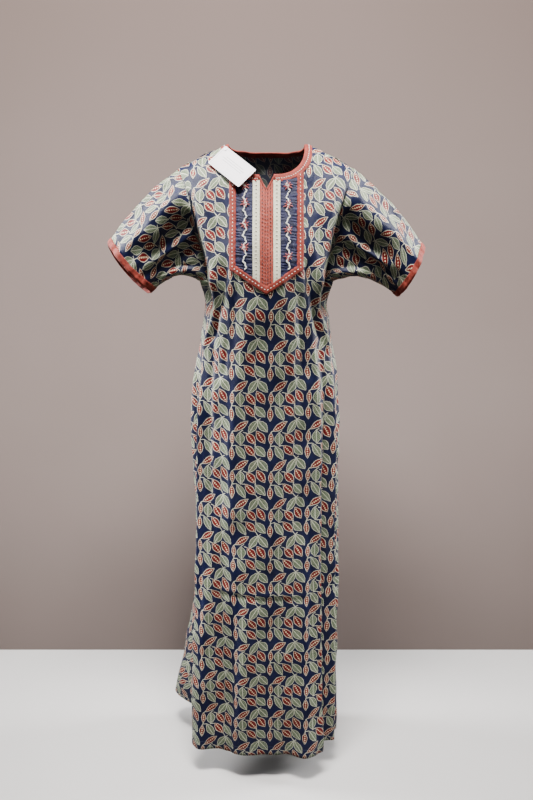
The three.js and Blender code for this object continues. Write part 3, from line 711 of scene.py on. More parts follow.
def makePrint():
    finish = cottonFinish["print"]
    material, tree, shader = startMaterial(
        "printedCotton", Roughness=finish["roughness"], **{
            "Sheen Weight": finish["sheen"], "Sheen Roughness": 0.35, "Specular IOR Level": 0.34,
            "Sheen Tint": (0.75, 0.85, 1.0, 1)})
    cloth = add(tree, "ShaderNodeUVMap", uv_map="cloth").outputs[0]
    printed = useGroup(tree, printGroup, {"Cloth": cloth})
    weave = useGroup(tree, weaveGroup, {"Place": cloth, "Threads per metre": finish["threads"]})
    wrongSide = add(tree, "ShaderNodeAttribute", attribute_name="wrongSide").outputs["Fac"]
    faded = blendColour(tree, 0.45, printed["Colour"], (0.16, 0.17, 0.22, 1))
    colour = blendColour(tree, wrongSide, printed["Colour"], faded)
    # a row of navy stitches holds the turned hem
    fromHem = add(tree, "ShaderNodeAttribute", attribute_name="fromHem").outputs["Fac"]
    away = calc(tree, "ABSOLUTE", calc(tree, "SUBTRACT", fromHem, 0.022))
    parts = split(tree, cloth)
    dash = calc(tree, "PINGPONG", parts[0], 0.0019)
    stitch = calc(tree, "MULTIPLY", fade(tree, away, 0.0003, 0.0006),
                  ramp(tree, dash, 0.0004, 0.0007))
    colour = blendColour(tree, stitch, colour, (0.05, 0.06, 0.14, 1))
    feed(tree, shader.inputs["Base Color"], colour)
    feed(tree, shader.inputs["Roughness"],
         calc(tree, "ADD", finish["roughness"] - 0.06, calc(tree, "MULTIPLY", weave["Slub"], 0.14)))
    height = calc(tree, "SUBTRACT", weave["Height"], calc(tree, "MULTIPLY", stitch, 4.0))
    bump(tree, shader, height, finish["bump"])
    return material


def makeCotton(name, key, threads=1500.0, depth=0.00015, roughness=0.62, sheen=0.08):
    finish = cottonFinish[key]
    material, tree, shader = startMaterial(
        name, Roughness=roughness, **{"Sheen Weight": sheen, "Sheen Roughness": 0.4,
                                      "Specular IOR Level": 0.3})
    place = objectPlace(tree)
    parts = split(tree, place)
    flat = add(tree, "ShaderNodeCombineXYZ", {0: parts[0], 1: parts[2]}).outputs[0]
    weave = useGroup(tree, weaveGroup, {"Place": flat, "Threads per metre": threads})
    mottle = noise(tree, place, 90.0, 4.0)
    share = calc(tree, "MULTIPLY", calc(tree, "ADD", mottle, weave["Slub"]), 0.5)
    colour = blendColour(tree, ramp(tree, share, 0.36, 0.62), finish["shade"], finish["colour"])
    feed(tree, shader.inputs["Base Color"], colour)
    feed(tree, shader.inputs["Roughness"],
         calc(tree, "ADD", roughness - 0.08, calc(tree, "MULTIPLY", weave["Slub"], 0.16)))
    bump(tree, shader, weave["Height"], depth)
    return material


def makeLace():
    # cream cotton with a line of square eyelets down the middle and corded edges; the eyelet holes
    # are coloured near black, which is painted shade inside the holes
    finish = cottonFinish["lace"]
    material, tree, shader = startMaterial("laceCotton", Roughness=0.7, **{"Sheen Weight": 0.2})
    cloth = add(tree, "ShaderNodeUVMap", uv_map="cloth").outputs[0]
    parts = split(tree, cloth)
    across = calc(tree, "ABSOLUTE", parts[0])
    wave = calc(tree, "PINGPONG", parts[1], 0.0038)
    hole = calc(tree, "MULTIPLY", fade(tree, across, 0.0011, 0.0017),
                fade(tree, wave, 0.0008, 0.0013))
    ring = calc(tree, "MULTIPLY", fade(tree, across, 0.0022, 0.0030),
                fade(tree, wave, 0.0018, 0.0026))
    weave = useGroup(tree, weaveGroup, {"Place": cloth, "Threads per metre": 1300.0})
    share = ramp(tree, weave["Slub"], 0.3, 0.7)
    colour = blendColour(tree, share, finish["shade"], finish["colour"])
    # painted shade: the eyelet holes take a near-black colour for the shade seen through them
    colour = blendColour(tree, hole, colour, (0.055, 0.045, 0.020, 1))
    feed(tree, shader.inputs["Base Color"], colour)
    lifted = calc(tree, "ADD", weave["Height"], calc(tree, "MULTIPLY", ring, 3.0))
    bump(tree, shader, calc(tree, "SUBTRACT", lifted, calc(tree, "MULTIPLY", hole, 7.0)), 0.00014)
    return material


def makeThread(name, key):
    # stranded cotton: fine diagonal twist, whose grooves are darkened with painted shade
    finish = cottonFinish[key]
    material, tree, shader = startMaterial(name, Roughness=0.5, **{"Sheen Weight": 0.3})
    place = objectPlace(tree)
    twist = add(tree, "ShaderNodeTexWave", {"Vector": place, "Scale": 900.0, "Distortion": 2.0},
                bands_direction="DIAGONAL")
    # painted shade: the low bands of the twist, where the bump sinks, take the darker colour
    colour = blendColour(tree, twist.outputs["Fac"], finish["shade"], finish["colour"])
    feed(tree, shader.inputs["Base Color"], colour)
    bump(tree, shader, twist.outputs["Fac"], 0.00015)
    return material


def makeCard():
    # pinkish white card with a hairline border and three plain rules
    material, tree, shader = startMaterial("tagCard", Roughness=0.42,
                                           **{"Specular IOR Level": 0.45})
    low, high = (np.array(corner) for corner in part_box("swing_tag"))
    place = objectPlace(tree)
    axes = tagAxes()
    moved = vector(tree, "SUBTRACT", place, tuple((low + high) / 2))
    along = vector(tree, "DOT_PRODUCT", moved, tuple(axes[0]), out="Value")
    up = vector(tree, "DOT_PRODUCT", moved, tuple(axes[1]), out="Value")
    front = ramp(tree, vector(tree, "DOT_PRODUCT", moved, tuple(axes[2]), out="Value"), 0.0, 0.0002)
    rules = None
    for height, halfLong in ((0.009, 0.024), (0.004, 0.030), (-0.001, 0.026)):
        near = calc(tree, "ABSOLUTE", calc(tree, "SUBTRACT", up, height))
        line = calc(tree, "MULTIPLY", fade(tree, near, 0.0004, 0.0007),
                    fade(tree, calc(tree, "ABSOLUTE", along), halfLong, halfLong + 0.0004))
        rules = line if rules is None else calc(tree, "MAXIMUM", rules, line)
    border = calc(tree, "MAXIMUM",
                  calc(tree, "DIVIDE", calc(tree, "ABSOLUTE", along), 0.0415),
                  calc(tree, "DIVIDE", calc(tree, "ABSOLUTE", up), 0.0225))
    edge = calc(tree, "ABSOLUTE", calc(tree, "SUBTRACT", border, 1.0))
    frameLine = fade(tree, edge, 0.006, 0.012)
    fibre = noise(tree, place, 1400.0, 3.0)
    paper = blendColour(tree, fibre, (0.80, 0.74, 0.77, 1), (0.90, 0.86, 0.88, 1))
    lines = calc(tree, "MAXIMUM", rules, frameLine)
    ink = calc(tree, "MULTIPLY", calc(tree, "MULTIPLY", lines, front), 0.8)
    feed(tree, shader.inputs["Base Color"], blendColour(tree, ink, paper, (0.25, 0.22, 0.26, 1)))
    bump(tree, shader, fibre, 0.00004)
    return material


def makeNylon():
    material, tree, shader = startMaterial("nylonPin", Roughness=0.3, **{"Specular IOR Level": 0.5})
    place = objectPlace(tree)
    cloud = add(tree, "ShaderNodeTexNoise", {"Vector": place, "Scale": 800.0}).outputs[0]
    feed(tree, shader.inputs["Base Color"],
         blendColour(tree, cloud, (0.80, 0.80, 0.80, 1), (0.92, 0.92, 0.92, 1)))
    bump(tree, shader, cloud, 0.00003)
    return material


def tagAxes():
    # the card's length, its height and the way it faces, as in the frame
    facing = np.array([j["axis"] for j in frame["joints"] if j["name"] == "tag_swing"][0], float)
    along = np.array([0.713, -0.439, -0.548])
    along = along - facing * (along @ facing) / (facing @ facing)
    facing, along = facing / np.linalg.norm(facing), along / np.linalg.norm(along)
    return along, np.cross(facing, along), facing


looks = {
    "print": makePrint(),
    "rust": makeCotton("rustCotton", "rust"),
    "strip": makeCotton("tuckedCotton", "strip"),
    "navy": makeCotton("navyCotton", "navy", roughness=0.46, sheen=0.03),
    "lace": makeLace(),
    "lining": makeCotton("liningCotton", "lining"),
    "thread": makeThread("whiteThread", "thread"),
    "coral": makeThread("coralThread", "coral"),
    "maroon": makeThread("maroonThread", "maroon"),
    "card": makeCard(),
    "nylon": makeNylon(),
}
print("materials made")

# Front and back panels

panelGrid = {"columns": 70, "upperRows": 78, "skirtRows": 170}
# how much closer the design lies on the chest than below it, and its shift to one side
printScale = {"chestAcross": 1.08, "chestDown": 1.12, "shift": -0.009, "drop": 0.047}


def neckAngle(quarters):
    # spaces points evenly round the superellipse
    whole = np.floor(quarters)
    out = (quarters - whole) ** (cut["neckPower"] / 2)
    back = (whole + 1 - quarters) ** (cut["neckPower"] / 2)
    return 90 * (whole + out / (out + back))


def neckPlan(reach, angle):
    # a superellipse that drops more in front than behind: side, x and z
    a = np.radians(angle)
    cos, sin = np.cos(a), np.sin(a)
    power = 2 / cut["neckPower"]
    side = np.where(sin >= 0, -1, 1)
    drop = np.where(side < 0, cut["neckFront"], cut["neckBack"])
    x = (cut["neckHalf"] + reach) * np.sign(cos) * np.abs(cos) ** power
    return side, x, shoulderZ(x) - (drop + reach) * np.abs(sin) ** power


def neckPoint(reach, angle, lift):
    side, x, z = neckPlan(reach, angle)
    return gownPoint(thetaAt(side, x, z), z, lift)


lipSide, lipX, lipZ = neckPlan(cut["panelEdge"], neckAngle(np.array(1 - cut["notchQuarters"])))


def panelPlan(side, c, v):
    # the angle and height of each grid point: columns run from the neckline, the notch or the
    # shoulder seam down to the hem
    share = np.abs(c)
    start = 1 - cut["notchQuarters"] if side < 0 else 1.0
    notched = cut["notchShare"] if side < 0 else 0.0
    quarters = start * (1 - np.clip((share - notched) / (cut["neckShare"] - notched), 0, 1))
    _, neckX, neckZ = neckPlan(cut["panelEdge"], -side * neckAngle(quarters))
    seamShare = np.clip((share - cut["neckShare"]) / (1 - cut["neckShare"]), 0, 1)
    seamX = cut["neckHalf"] + cut["panelEdge"]
    seamX = seamX + (cut["tipX"] - seamX) * seamShare
    notch = np.clip(share / cut["notchShare"], 0, 1)
    topX = np.where(share < notched, lipX * notch, np.where(share < cut["neckShare"], neckX, seamX))
    topZ = np.where(share < notched, lipZ - cut["notchDepth"] * (1 - notch),
                    np.where(share < cut["neckShare"], neckZ, shoulderZ(seamX)))
    upper = np.clip(v, 0, 1)
    down = (1 - np.cos(np.pi * upper)) / 2
    z = topZ + (cut["underarmZ"] - topZ) * down
    end = cut["underarmX"] * np.sin(share * np.pi / 2)
    bend = armholeX(z) - (cut["tipX"] + (cut["underarmX"] - cut["tipX"]) * down)
    edge = share ** 6 * bend * np.where(share < 1, smooth(upper / 0.3), 1)
    x = np.sign(c) * (topX + (end - topX) * down + edge)
    z = np.where(v > 1, cut["underarmZ"] + (cut["hemZ"] - cut["underarmZ"]) * (v - 1), z)
    turn = np.where(v > 1, 90 * c, np.degrees(np.arcsin(np.clip(x / halfWidth(z), -1, 1))))
    return (turn if side < 0 else 180 - turn), z, x


def clothMap(outer, theta, z, side):
    # across: length along each row from the middle, and down: length down each column from the
    # underarm, so that the design stays upright
    middle = outer.shape[1] // 2
    turn = theta if side < 0 else 180 - theta
    x = halfWidth(z) * np.sin(np.radians(turn))
    flat = np.abs(np.diff(x, axis=1)) * printScale["chestAcross"]
    real = np.linalg.norm(np.diff(outer[..., :2], axis=1), axis=-1)
    real = np.where(z[:, 1:] > cut["underarmZ"] - 0.02, np.minimum(real, flat * 1.6), real)
    across = np.zeros(outer.shape[:2])
    across[:, 1:] = np.cumsum(np.where(z[:, 1:] > -0.12, flat, real), axis=1)
    across -= across[:, middle:middle + 1]
    down = np.zeros(outer.shape[:2])
    down[1:] = np.cumsum(np.linalg.norm(np.diff(outer[..., 1:], axis=0), axis=-1), axis=0)
    row = panelGrid["upperRows"]
    down -= down[row:row + 1]
    skirt = np.arange(len(down))[:, None] > row
    down = np.where(skirt, down[:, middle:middle + 1], down * printScale["chestDown"])
    return np.stack([across + printScale["shift"], printScale["drop"] - down], -1)


def makePanel(name, side, node):
    half = np.concatenate([np.linspace(0, cut["notchShare"], 5)[:-1] if side < 0 else [],
                           np.linspace(cut["notchShare"] if side < 0 else 0, cut["neckShare"], 30),
                           np.linspace(cut["neckShare"], 1, panelGrid["columns"] - 32)[1:]])
    c = np.concatenate([-half[:0:-1], half])
    v = np.concatenate([np.linspace(0, 1, panelGrid["upperRows"] + 1),
                        np.linspace(1, 2, panelGrid["skirtRows"] + 1)[1:]])
    c, v = np.meshgrid(c, v)
    theta, z, x = panelPlan(side, c, v)
    dip = np.where(v < 1, armholeDip(x, z), 0)
    # side seams draw the cloth in a little too
    dip = dip - np.where(v >= 1, 0.0016 * np.exp(-(((1 - np.abs(c)) / 0.02) ** 2)), 0)
    outer = gownPoint(theta, z, dip)
    inner = gownPoint(theta, z, dip - cut["cloth"])
    uv = clothMap(outer, theta, z, side)
    obj = shell(name, outer, inner, looks["print"], clothUv=uv, hem=z - cut["hemZ"])
    return standFor(obj, node)


frontPanel = makePanel("frontPanel", -1, "front_panel")
backPanel = makePanel("backPanel", 1, "back_panel")
print("panels made", len(frontPanel.data.polygons), len(backPanel.data.polygons))


def makeHemTurn(name, side, node):
    # the allowance folded up inside, right side showing
    turn = np.linspace(-89, 89, 150)
    theta = turn if side < 0 else 180 - turn
    heights = np.linspace(cut["hemZ"] + 0.0006, cut["hemZ"] + 0.025, 8)
    t, z = np.meshgrid(theta, heights)
    ripple = 0.0003 * np.sin(np.radians(t) * 40)
    outer = gownPoint(t, z, -0.0034 + ripple)
    inner = gownPoint(t, z, -0.0022 + ripple)
    uv = np.stack([np.radians(t) * 0.2, -z], -1)
    obj = shell(name, outer, inner, looks["print"], clothUv=uv, hem=z * 0 + 1)
    return standFor(obj, node)


frontHem = makeHemTurn("frontHemTurn", -1, "front_hem_turn")
backHem = makeHemTurn("backHemTurn", 1, "back_hem_turn")

# Sleeves, cuffs and seams

sleeveGrid = {"around": 150, "along": 70}
binding = {
    "cuff": {"outside": 0.012, "inside": 0.008, "thick": 0.0012, "lift": 0.0005, "cloth": 0.0012},
    "neck": {"outside": 0.014, "inside": 0.008, "thick": 0.0014, "lift": 0.0006, "cloth": 0.0012},
}


def bindingRing(size):
    # the section of a binding folded over an edge: crowned outside, round at the fold, flat
    # inside, as reach back from the edge and distance from the cloth
    outside, inside, thick, lift = size["outside"], size["inside"], size["thick"], size["lift"]
    t = np.linspace(0, 1, 9)
    crown = lift + thick * (0.55 + 0.45 * np.sqrt(np.maximum(1 - (2 * t - 1) ** 4, 0)))
    top = np.stack([outside * (1 - t), crown], -1)
    low = -size["cloth"] - lift
    a = np.linspace(0, math.pi, 7)[1:-1]
    middle, radius = (crown[-1] + low - thick * 0.8) / 2, (crown[-1] - low + thick * 0.8) / 2
    fold = np.stack([-radius * 0.8 * np.sin(a), middle + radius * np.cos(a)], -1)
    under = np.array([[0, low - thick * 0.8], [inside, low - thick * 0.8]])
    back = np.array([[inside, low], [0.0, low], [0.0006, lift], [outside, lift]])
    return np.concatenate([top, fold, under, back])


def blendSleeve(obj):
    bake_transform(obj)


# Seam allowances: half thickness and distance from the cloth at the near and the far edge
seamSize = {"sleeve": ((0.0006, 0.001), (0.0009, 0.008)),
            "armhole": ((0.0012, 0.0006), (0.0010, 0.009)),
            "shoulder": ((0.0006, 0.0016), (0.0012, 0.0100)),
            "side": ((0.0006, 0.0030), (0.0014, 0.0110))}


def seamAllowance(name, seam, pointAt, body="gown", closePath=False):
    # a flat strip along a seam, whose far edge ripples
    (nearHalf, near), (farHalf, far) = seamSize[seam]
    corners = ((-nearHalf, near), (nearHalf, near), (farHalf, far), (-farHalf, far))
    rows = [pointAt(width, depth, depth > 0.005) for width, depth in corners]
    strip = tube(name + seam.capitalize() + "Seam", np.stack(rows, 1), looks["lining"], body,
                 closePath)
    return standFor(strip, name + "_" + seam + "_seam")


for name in ("right", "left"):
    side = sleeveCut[name]["side"]
    angles = np.arange(sleeveGrid["around"]) * 360 / sleeveGrid["around"]
    s, a = np.meshgrid(np.linspace(0, 0.995, sleeveGrid["along"]), angles, indexing="ij")
    outer = sleevePoint(name, a, s)
    inner = sleevePoint(name, a, s, -cut["cloth"])
    around = np.linalg.norm(np.diff(outer, axis=1, append=outer[:, :1]), axis=-1)
    across = np.cumsum(around, axis=1)
    across -= across[:, :1]
    rowLength = around.sum(1, keepdims=True)
    across = np.where(a > 180, across - rowLength, across) * side
    down = np.zeros(s.shape)
    down[1:] = np.cumsum(np.linalg.norm(np.diff(outer, axis=0), axis=-1), axis=0)
    uv = np.stack([across * 1.06 + 0.013 * side, (down[-1:] - down) * 1.08], -1)
    obj = shell(name + "Sleeve", outer, inner, looks["print"], None, uv, closeColumns=True,
                hem=s * 0 + 1)
    standFor(obj, name + "_sleeve")
    blendSleeve(obj)

    ring = bindingRing(binding["cuff"])
    angles = np.linspace(0, 360, 161)[:-1]
    length = np.linalg.norm(sleevePoint(name, angles, 1 + 0 * angles)
                            - sleevePoint(name, angles, 0 * angles), axis=-1)
    share = 1 - ring[None, :, 0] / length[:, None]
    pucker = 0.00025 * np.sin(np.radians(angles) * 46)[:, None] * (ring[None, :, 1] > 0.001)
    cuff = tube(name + "CuffBinding",
                sleevePoint(name, angles[:, None] + 0 * share, share, ring[None, :, 1] + pucker),
                looks["rust"], None, closePath=True)
    standFor(cuff, name + "_cuff_binding")
    blendSleeve(cuff)

    run = np.linspace(0.06, 0.9, 40)  # underarm seam, inside the sleeve

    def underarm(width, depth, ripples):
        p = sleevePoint(name, 180 + 0 * run, run, -depth - 0.0004)
        p[:, 1] += width + 0.0006 * np.sin(run * 60) * ripples
        return p

    blendSleeve(seamAllowance(name, "sleeve", underarm, None))

    angles = np.linspace(0, 360, 121)[:-1]  # armhole, standing inwards
    edge = plainSleeve(name, angles, 0 * angles)
    middle = np.array([side * (cut["underarmX"] - 0.010), 0, armMiddle])
    inward = unit(middle - edge)

    def armhole(shift, depth, ripples):
        p = edge + inward * depth
        p[:, 0] += side * (shift + 0.0008 * np.sin(np.radians(angles) * 17) * ripples)
        return p

    seamAllowance(name, "armhole", armhole, closePath=True)

    x = np.linspace(cut["neckHalf"] + 0.012, cut["tipX"] - 0.004, 40)

    def shoulder(width, depth, ripples):
        wave = 0.0008 * np.sin(x * 300) * ripples
        return np.stack([side * x, width + wave, shoulderZ(x) - depth], -1)

    seamAllowance(name, "shoulder", shoulder)

    z = np.linspace(cut["underarmZ"] - 0.006, cut["hemZ"] + 0.003, 160)

    def sideSeam(width, depth, ripples):
        p = gownPoint(side * 90 + 0 * z, z, -depth + 0 * z)
        p[:, 1] += width + 0.0012 * np.sin(z * 70) * ripples
        return p

    seamAllowance(name, "side", sideSeam)
print("sleeves made")

# Neck binding and notch

ring = bindingRing(binding["neck"])
quarters = np.linspace(1 - cut["notchQuarters"], cut["notchQuarters"] - 3, 300)
angles = neckAngle(quarters)
pucker = 0.0002 * np.sin(quarters * 130)[:, None] * (ring[None, :, 1] > 0.001)
reach = ring[None, :, 0] + 0 * angles[:, None]
neck = tube("neckBinding", neckPoint(reach, angles[:, None] + 0 * reach, ring[None, :, 1] + pucker),
            looks["rust"])
standFor(neck, "neck_binding")


def chestPoint(x, z, lift):
    return gownPoint(thetaAt(-1, x, z), z, lift)


def chestFrame(x, z, lift):
    # a point of the chest with the directions along x, along z and out of the cloth
    p = chestPoint(x, z, lift)
    alongX = unit(chestPoint(x + 0.001, z, lift) - chestPoint(x - 0.001, z, lift))
    alongZ = unit(chestPoint(x, z + 0.001, lift) - chestPoint(x, z - 0.001, lift))
    return p, alongX, alongZ, unit(np.cross(alongX, alongZ))


for name, side in (("right", -1), ("left", 1)):
    share = np.linspace(0, 1, 30)
    x = lipX * (1 - share) + 0.0004
    z = -cut["neckFront"] - 0.001 - cut["notchDepth"] * share
    rows = []
    for out, low in ((-0.0012, -0.0024), (-0.0012, 0.0012), (-0.0004, 0.0028), (0.0014, 0.0031),
                     (0.0030, 0.0026), (0.0032, 0.0010), (0.0022, -0.0016), (0.0010, -0.0026)):
        rows.append(chestPoint(side * (x + out), z, low + 0 * x))
    lip = tube(name + "NotchBinding", np.stack(rows, 1), looks["rust"])
    standFor(lip, name + "_notch_binding")

# Yoke: tucked strip, lace, crinkled panels, embroidery, trim and lining

yoke = {"half": 0.0765, "cornerZ": -0.250, "pointZ": -0.300, "trim": 0.0145,
        "strip": 0.0136, "laceIn": 0.0140, "laceOut": 0.0282, "panelIn": 0.0275,
        "tucks": 5, "dotPitch": 0.0073, "vineX": 0.044, "vineTop": -0.080, "vineBottom": -0.249,
        "flowers": {"right": (-0.084, -0.118, -0.161, -0.206),
                    "left": (-0.084, -0.122, -0.171, -0.224)}}
# The vine's stitches and swing, the star's stitches, its knot, and the running stitches
needlework = {"vineStep": 0.0042, "vineSwing": 0.0028, "vineWave": 0.025, "vineLean": 0.6,
              "vineLong": 0.0090, "vineShort": 0.0064, "vineWide": 0.0029, "vineHigh": 0.0020,
              "starReach": 0.0062, "starUneven": 0.0012, "starWide": 0.0023, "starHigh": 0.0018,
              "knotReach": 0.0011, "knotLong": 0.0020, "knotWide": 0.0018,
              "whiteLong": 0.0034, "whiteWide": 0.0019, "whiteHigh": 0.0016,
              "darkStep": 0.0074, "darkLong": 0.0046, "darkWide": 0.0027, "darkHigh": 0.0017}
yokeSlope = (yoke["cornerZ"] - yoke["pointZ"]) / yoke["half"]


def yokeBottom(x, inset):
    return yoke["pointZ"] + yokeSlope * np.abs(x) + inset * math.hypot(1, yokeSlope)


def bindingEdge(x):
    # the lower edge of the neck binding over x
    power, reach = cut["neckPower"], binding["neck"]["outside"]
    share = np.clip(np.abs(x) / (cut["neckHalf"] + reach), 0, 1)
    return -(cut["neckFront"] + reach) * (1 - share ** power) ** (1 / power)


def notchTop(x, clear):
    lip = -cut["neckFront"] - clear - cut["notchDepth"] * np.maximum(1 - np.abs(x) / lipX, 0)
    return np.minimum(bindingEdge(x) + 0.003, lip)


def yokePiece(name, xs, rows, top, inset, low, high, look, node):
    # a patch between two distances from the middle, whose face height is a function of x and z
    x, t = np.meshgrid(xs, np.linspace(0, 1, rows))
    z = top(x) + (yokeBottom(x, inset) - top(x)) * t
    outer = chestPoint(x, z, high(x, z))
    inner = chestPoint(x, z, low + 0 * x)
    uv = np.stack([x - (xs[0] + xs[-1]) / 2, z], -1)
    obj = shell(name, outer, inner, looks[look], clothUv=uv)
    return standFor(obj, node)


def tuckHeight(x, z):
    # pressed tucks: rounded ridges side by side, each leaning a little to one side
    phase = (x / (2 * yoke["strip"]) + 0.5) * yoke["tucks"] % 1
    ridge = np.sin(np.pi * phase ** 0.8) ** 0.7
    return 0.0006 + 0.0019 * ridge + 0.00016 * np.sin(z * 900 + x * 400)


xs = np.linspace(-yoke["strip"], yoke["strip"], 71)
tuckStrip = yokePiece("tuckStrip", xs, 150, lambda x: notchTop(x, 0.001), 0.009, 0.0004, tuckHeight,
                      "strip", "tuck_strip")


def crinkle(x, z):
    # the dark cotton is gathered by the rows of stitching: short level wrinkles that start at
    # both edges and fade towards the middle
    middle = (yoke["panelIn"] + yoke["half"] - yoke["trim"]) / 2
    half = (yoke["half"] - yoke["trim"] - yoke["panelIn"]) / 2
    fromEdge = np.abs(np.abs(x) - middle) / half
    wave = np.sin(z * 820 + 2.3 * np.sin(z * 190 + x * 60) + 60 * x)
    fine = np.sin(z * 1500 - 90 * x + 2 * np.sin(z * 330))
    out = 0.00055 * wave * (0.35 + 0.65 * fromEdge) + 0.0002 * fine
    return 0.0016 + out + 0.0006 * np.sin(z * 160 + np.sign(x)) * (1 - fromEdge)


def laceHeight(x, z):
    # corded along both edges
    middle = (yoke["laceIn"] + yoke["laceOut"]) / 2
    t = np.abs(np.abs(x) - middle) / ((yoke["laceOut"] - yoke["laceIn"]) / 2)
    return 0.0019 + 0.0005 * np.exp(-(((t - 0.86) / 0.13) ** 2)) + 0.00008 * np.sin(z * 1600)


def stitchRow(places, along, normal, length, width):
    count = len(places)
    return places, along, normal, np.full(count, length), np.full(count, width)


whiteThread = []
for name, side in (("right", -1), ("left", 1)):
    xs = side * np.linspace(yoke["panelIn"], yoke["half"] - yoke["trim"] + 0.003, 44)
    panel = yokePiece(name + "YokePanel", xs, 190, lambda x: bindingEdge(x) + 0.003, 0.008, 0.0003,
                      crinkle, "navy", name + "_yoke_panel")
    xs = side * np.linspace(yoke["laceIn"], yoke["laceOut"], 22)
    lace = yokePiece(name + "Lace", xs, 160, lambda x: bindingEdge(x) + 0.003, 0.009, 0.0004,
                     laceHeight, "lace", name + "_lace")

    # a waving vine of white stitches that lean to and fro
    w = needlework
    z = np.arange(yoke["vineTop"], yoke["vineBottom"], -w["vineStep"])
    x = side * yoke["vineX"] + w["vineSwing"] * np.sin(2 * np.pi * z / w["vineWave"])
    p, alongX, alongZ, normal = chestFrame(x, z, 0.0030 + 0 * z)
    slope = w["vineSwing"] * 2 * np.pi / w["vineWave"] * np.cos(2 * np.pi * z / w["vineWave"])
    lean = np.where(np.arange(len(z)) % 2 == 0, w["vineLean"], -w["vineLean"])
    along = alongZ + (slope + lean)[:, None] * alongX
    size = np.where(np.arange(len(z)) % 6 < 3, w["vineLong"], w["vineShort"])
    vine = stitches(name + "Vine", p, along, normal, size, w["vineWide"], w["vineHigh"],
                    looks["thread"])
    standFor(vine, name + "_vine")

    # star flowers: eight long stitches round a small white knot
    for number, height in enumerate(yoke["flowers"][name], 1):
        turns = np.radians(np.arange(8) * 45 + 11 * number)
        reach = w["starReach"] + w["starUneven"] * np.cos(3 * turns + number)
        x = side * yoke["vineX"] + reach * 0.85 * np.cos(turns)
        z = height + reach * 0.85 * np.sin(turns)
        p, alongX, alongZ, normal = chestFrame(x, z, 0.0033 + 0 * x)
        along = alongX * np.cos(turns)[:, None] + alongZ * np.sin(turns)[:, None]
        star = stitches(name + "Flower" + str(number), p, along, normal, reach * 1.4,
                        w["starWide"], w["starHigh"], looks["coral"])
        standFor(star, name + "_flower_" + str(number))
        turns = np.arange(4) * np.pi / 2
        x = side * yoke["vineX"] + w["knotReach"] * np.cos(turns)
        z = height + w["knotReach"] * np.sin(turns)
        p, alongX, alongZ, normal = chestFrame(x, z, 0.0040 + 0 * turns)
        whiteThread.append(stitchRow(p, alongX, normal, w["knotLong"], w["knotWide"]))

# trim round the yoke: crowned, mitred at the corners and at the point
share = np.linspace(0, 1, 90)
inner = yoke["half"] - yoke["trim"]
edges = []
for x, inset in ((yoke["half"], 0.0), (inner, yoke["trim"])):
    topZ = bindingEdge(np.array(x)) + 0.004
    down = np.stack([-x + 0 * share, topZ + (yokeBottom(x, inset) - topZ) * share], -1)
    span = x * np.linspace(-0.985, 0.985, 90)
    point = np.stack([span, yokeBottom(span, inset)], -1)
    upAgain = down[::-1] * np.array([-1, 1])
    edges.append(np.concatenate([down, point, upAgain]))
outerEdge, innerEdge = edges
t = np.linspace(0, 1, 11)
flat = outerEdge[:, None] * (1 - t)[None, :, None] + innerEdge[:, None] * t[None, :, None]
crown = 0.0012 + 0.0016 * np.sqrt(np.maximum(1 - (2 * t - 1) ** 6, 0)) + 0 * flat[..., 0]
crown += 0.00018 * np.sin(np.arange(len(flat)) * 0.9)[:, None]
trim = shell("yokeTrim", chestPoint(flat[..., 0], flat[..., 1], crown),
             chestPoint(flat[..., 0], flat[..., 1], 0.0008 + 0 * crown), looks["rust"])
standFor(trim, "yoke_trim")

liningX, liningT = np.meshgrid(np.linspace(-yoke["half"], yoke["half"], 61), np.linspace(0, 1, 60))
liningTop = notchTop(liningX, 0.006)
liningZ = liningTop + (yokeBottom(liningX, 0.0) - liningTop) * liningT
ripple = 0.0002 * np.sin(liningZ * 200)
lining = shell("yokeLining", chestPoint(liningX, liningZ, -0.0018 + 0 * liningX),
               chestPoint(liningX, liningZ, -0.0026 + ripple), looks["lining"])
standFor(lining, "yoke_lining")


def evenly(points, pitch):
    # places a pitch apart along a polyline, with the direction there
    step = np.linalg.norm(np.diff(points, axis=0), axis=-1)
    length = np.concatenate([[0], np.cumsum(step)])
    at = np.arange(pitch / 2, length[-1], pitch)
    here, ahead, behind = (
        np.stack([np.interp(at + shift, length, column) for column in points.T], -1)
        for shift in (0.0, pitch / 4, -pitch / 4))
    return here, ahead - behind


def sewRows(name, rows, height, look):
    # all the rows of one thread as one piece
    gathered = [np.concatenate(part) for part in zip(*rows)]
    obj = stitches(name, *gathered, height, looks[look])
    return obj


# white running stitch along the trim and the neck binding
places, heading = evenly((outerEdge + innerEdge) / 2, yoke["dotPitch"])
p, alongX, alongZ, normal = chestFrame(places[:, 0], places[:, 1], 0.0029 + 0 * places[:, 0])
along = alongX * heading[:, :1] + alongZ * heading[:, 1:]
white = needlework["whiteLong"], needlework["whiteWide"]
whiteThread.append(stitchRow(p, along, normal, *white))
fine = neckAngle(np.linspace(0.985 - cut["notchQuarters"], cut["notchQuarters"] - 2.985, 1200))
crest = binding["neck"]["lift"] + binding["neck"]["thick"] * 0.95
line, above = (neckPoint(0.0072 + 0 * fine, fine, crest + up + 0 * fine) for up in (0.0, 0.001))
places, heading = evenly(np.concatenate([line, above], -1), yoke["dotPitch"])
p = places[:, :3]
whiteThread.append(stitchRow(p, heading[:, :3], places[:, 3:] - p, *white))
sewRows("whiteStitches", whiteThread, needlework["whiteHigh"], "thread")

# dark running stitch in the valleys between the tucks
darkThread = []
for valley in np.arange(1, yoke["tucks"]) / yoke["tucks"]:
    x = yoke["strip"] * (2 * valley - 1)
    topZ, lowZ = float(notchTop(np.array(x), 0.006)), float(yokeBottom(x, 0.016))
    z = np.arange(topZ, lowZ, -needlework["darkStep"])
    p, alongX, alongZ, normal = chestFrame(x + 0 * z, z, 0.0019 + 0 * z)
    darkThread.append(stitchRow(p, alongZ, normal, needlework["darkLong"], needlework["darkWide"]))
sewRows("tuckStitches", darkThread, needlework["darkHigh"], "maroon")
print("yoke made")

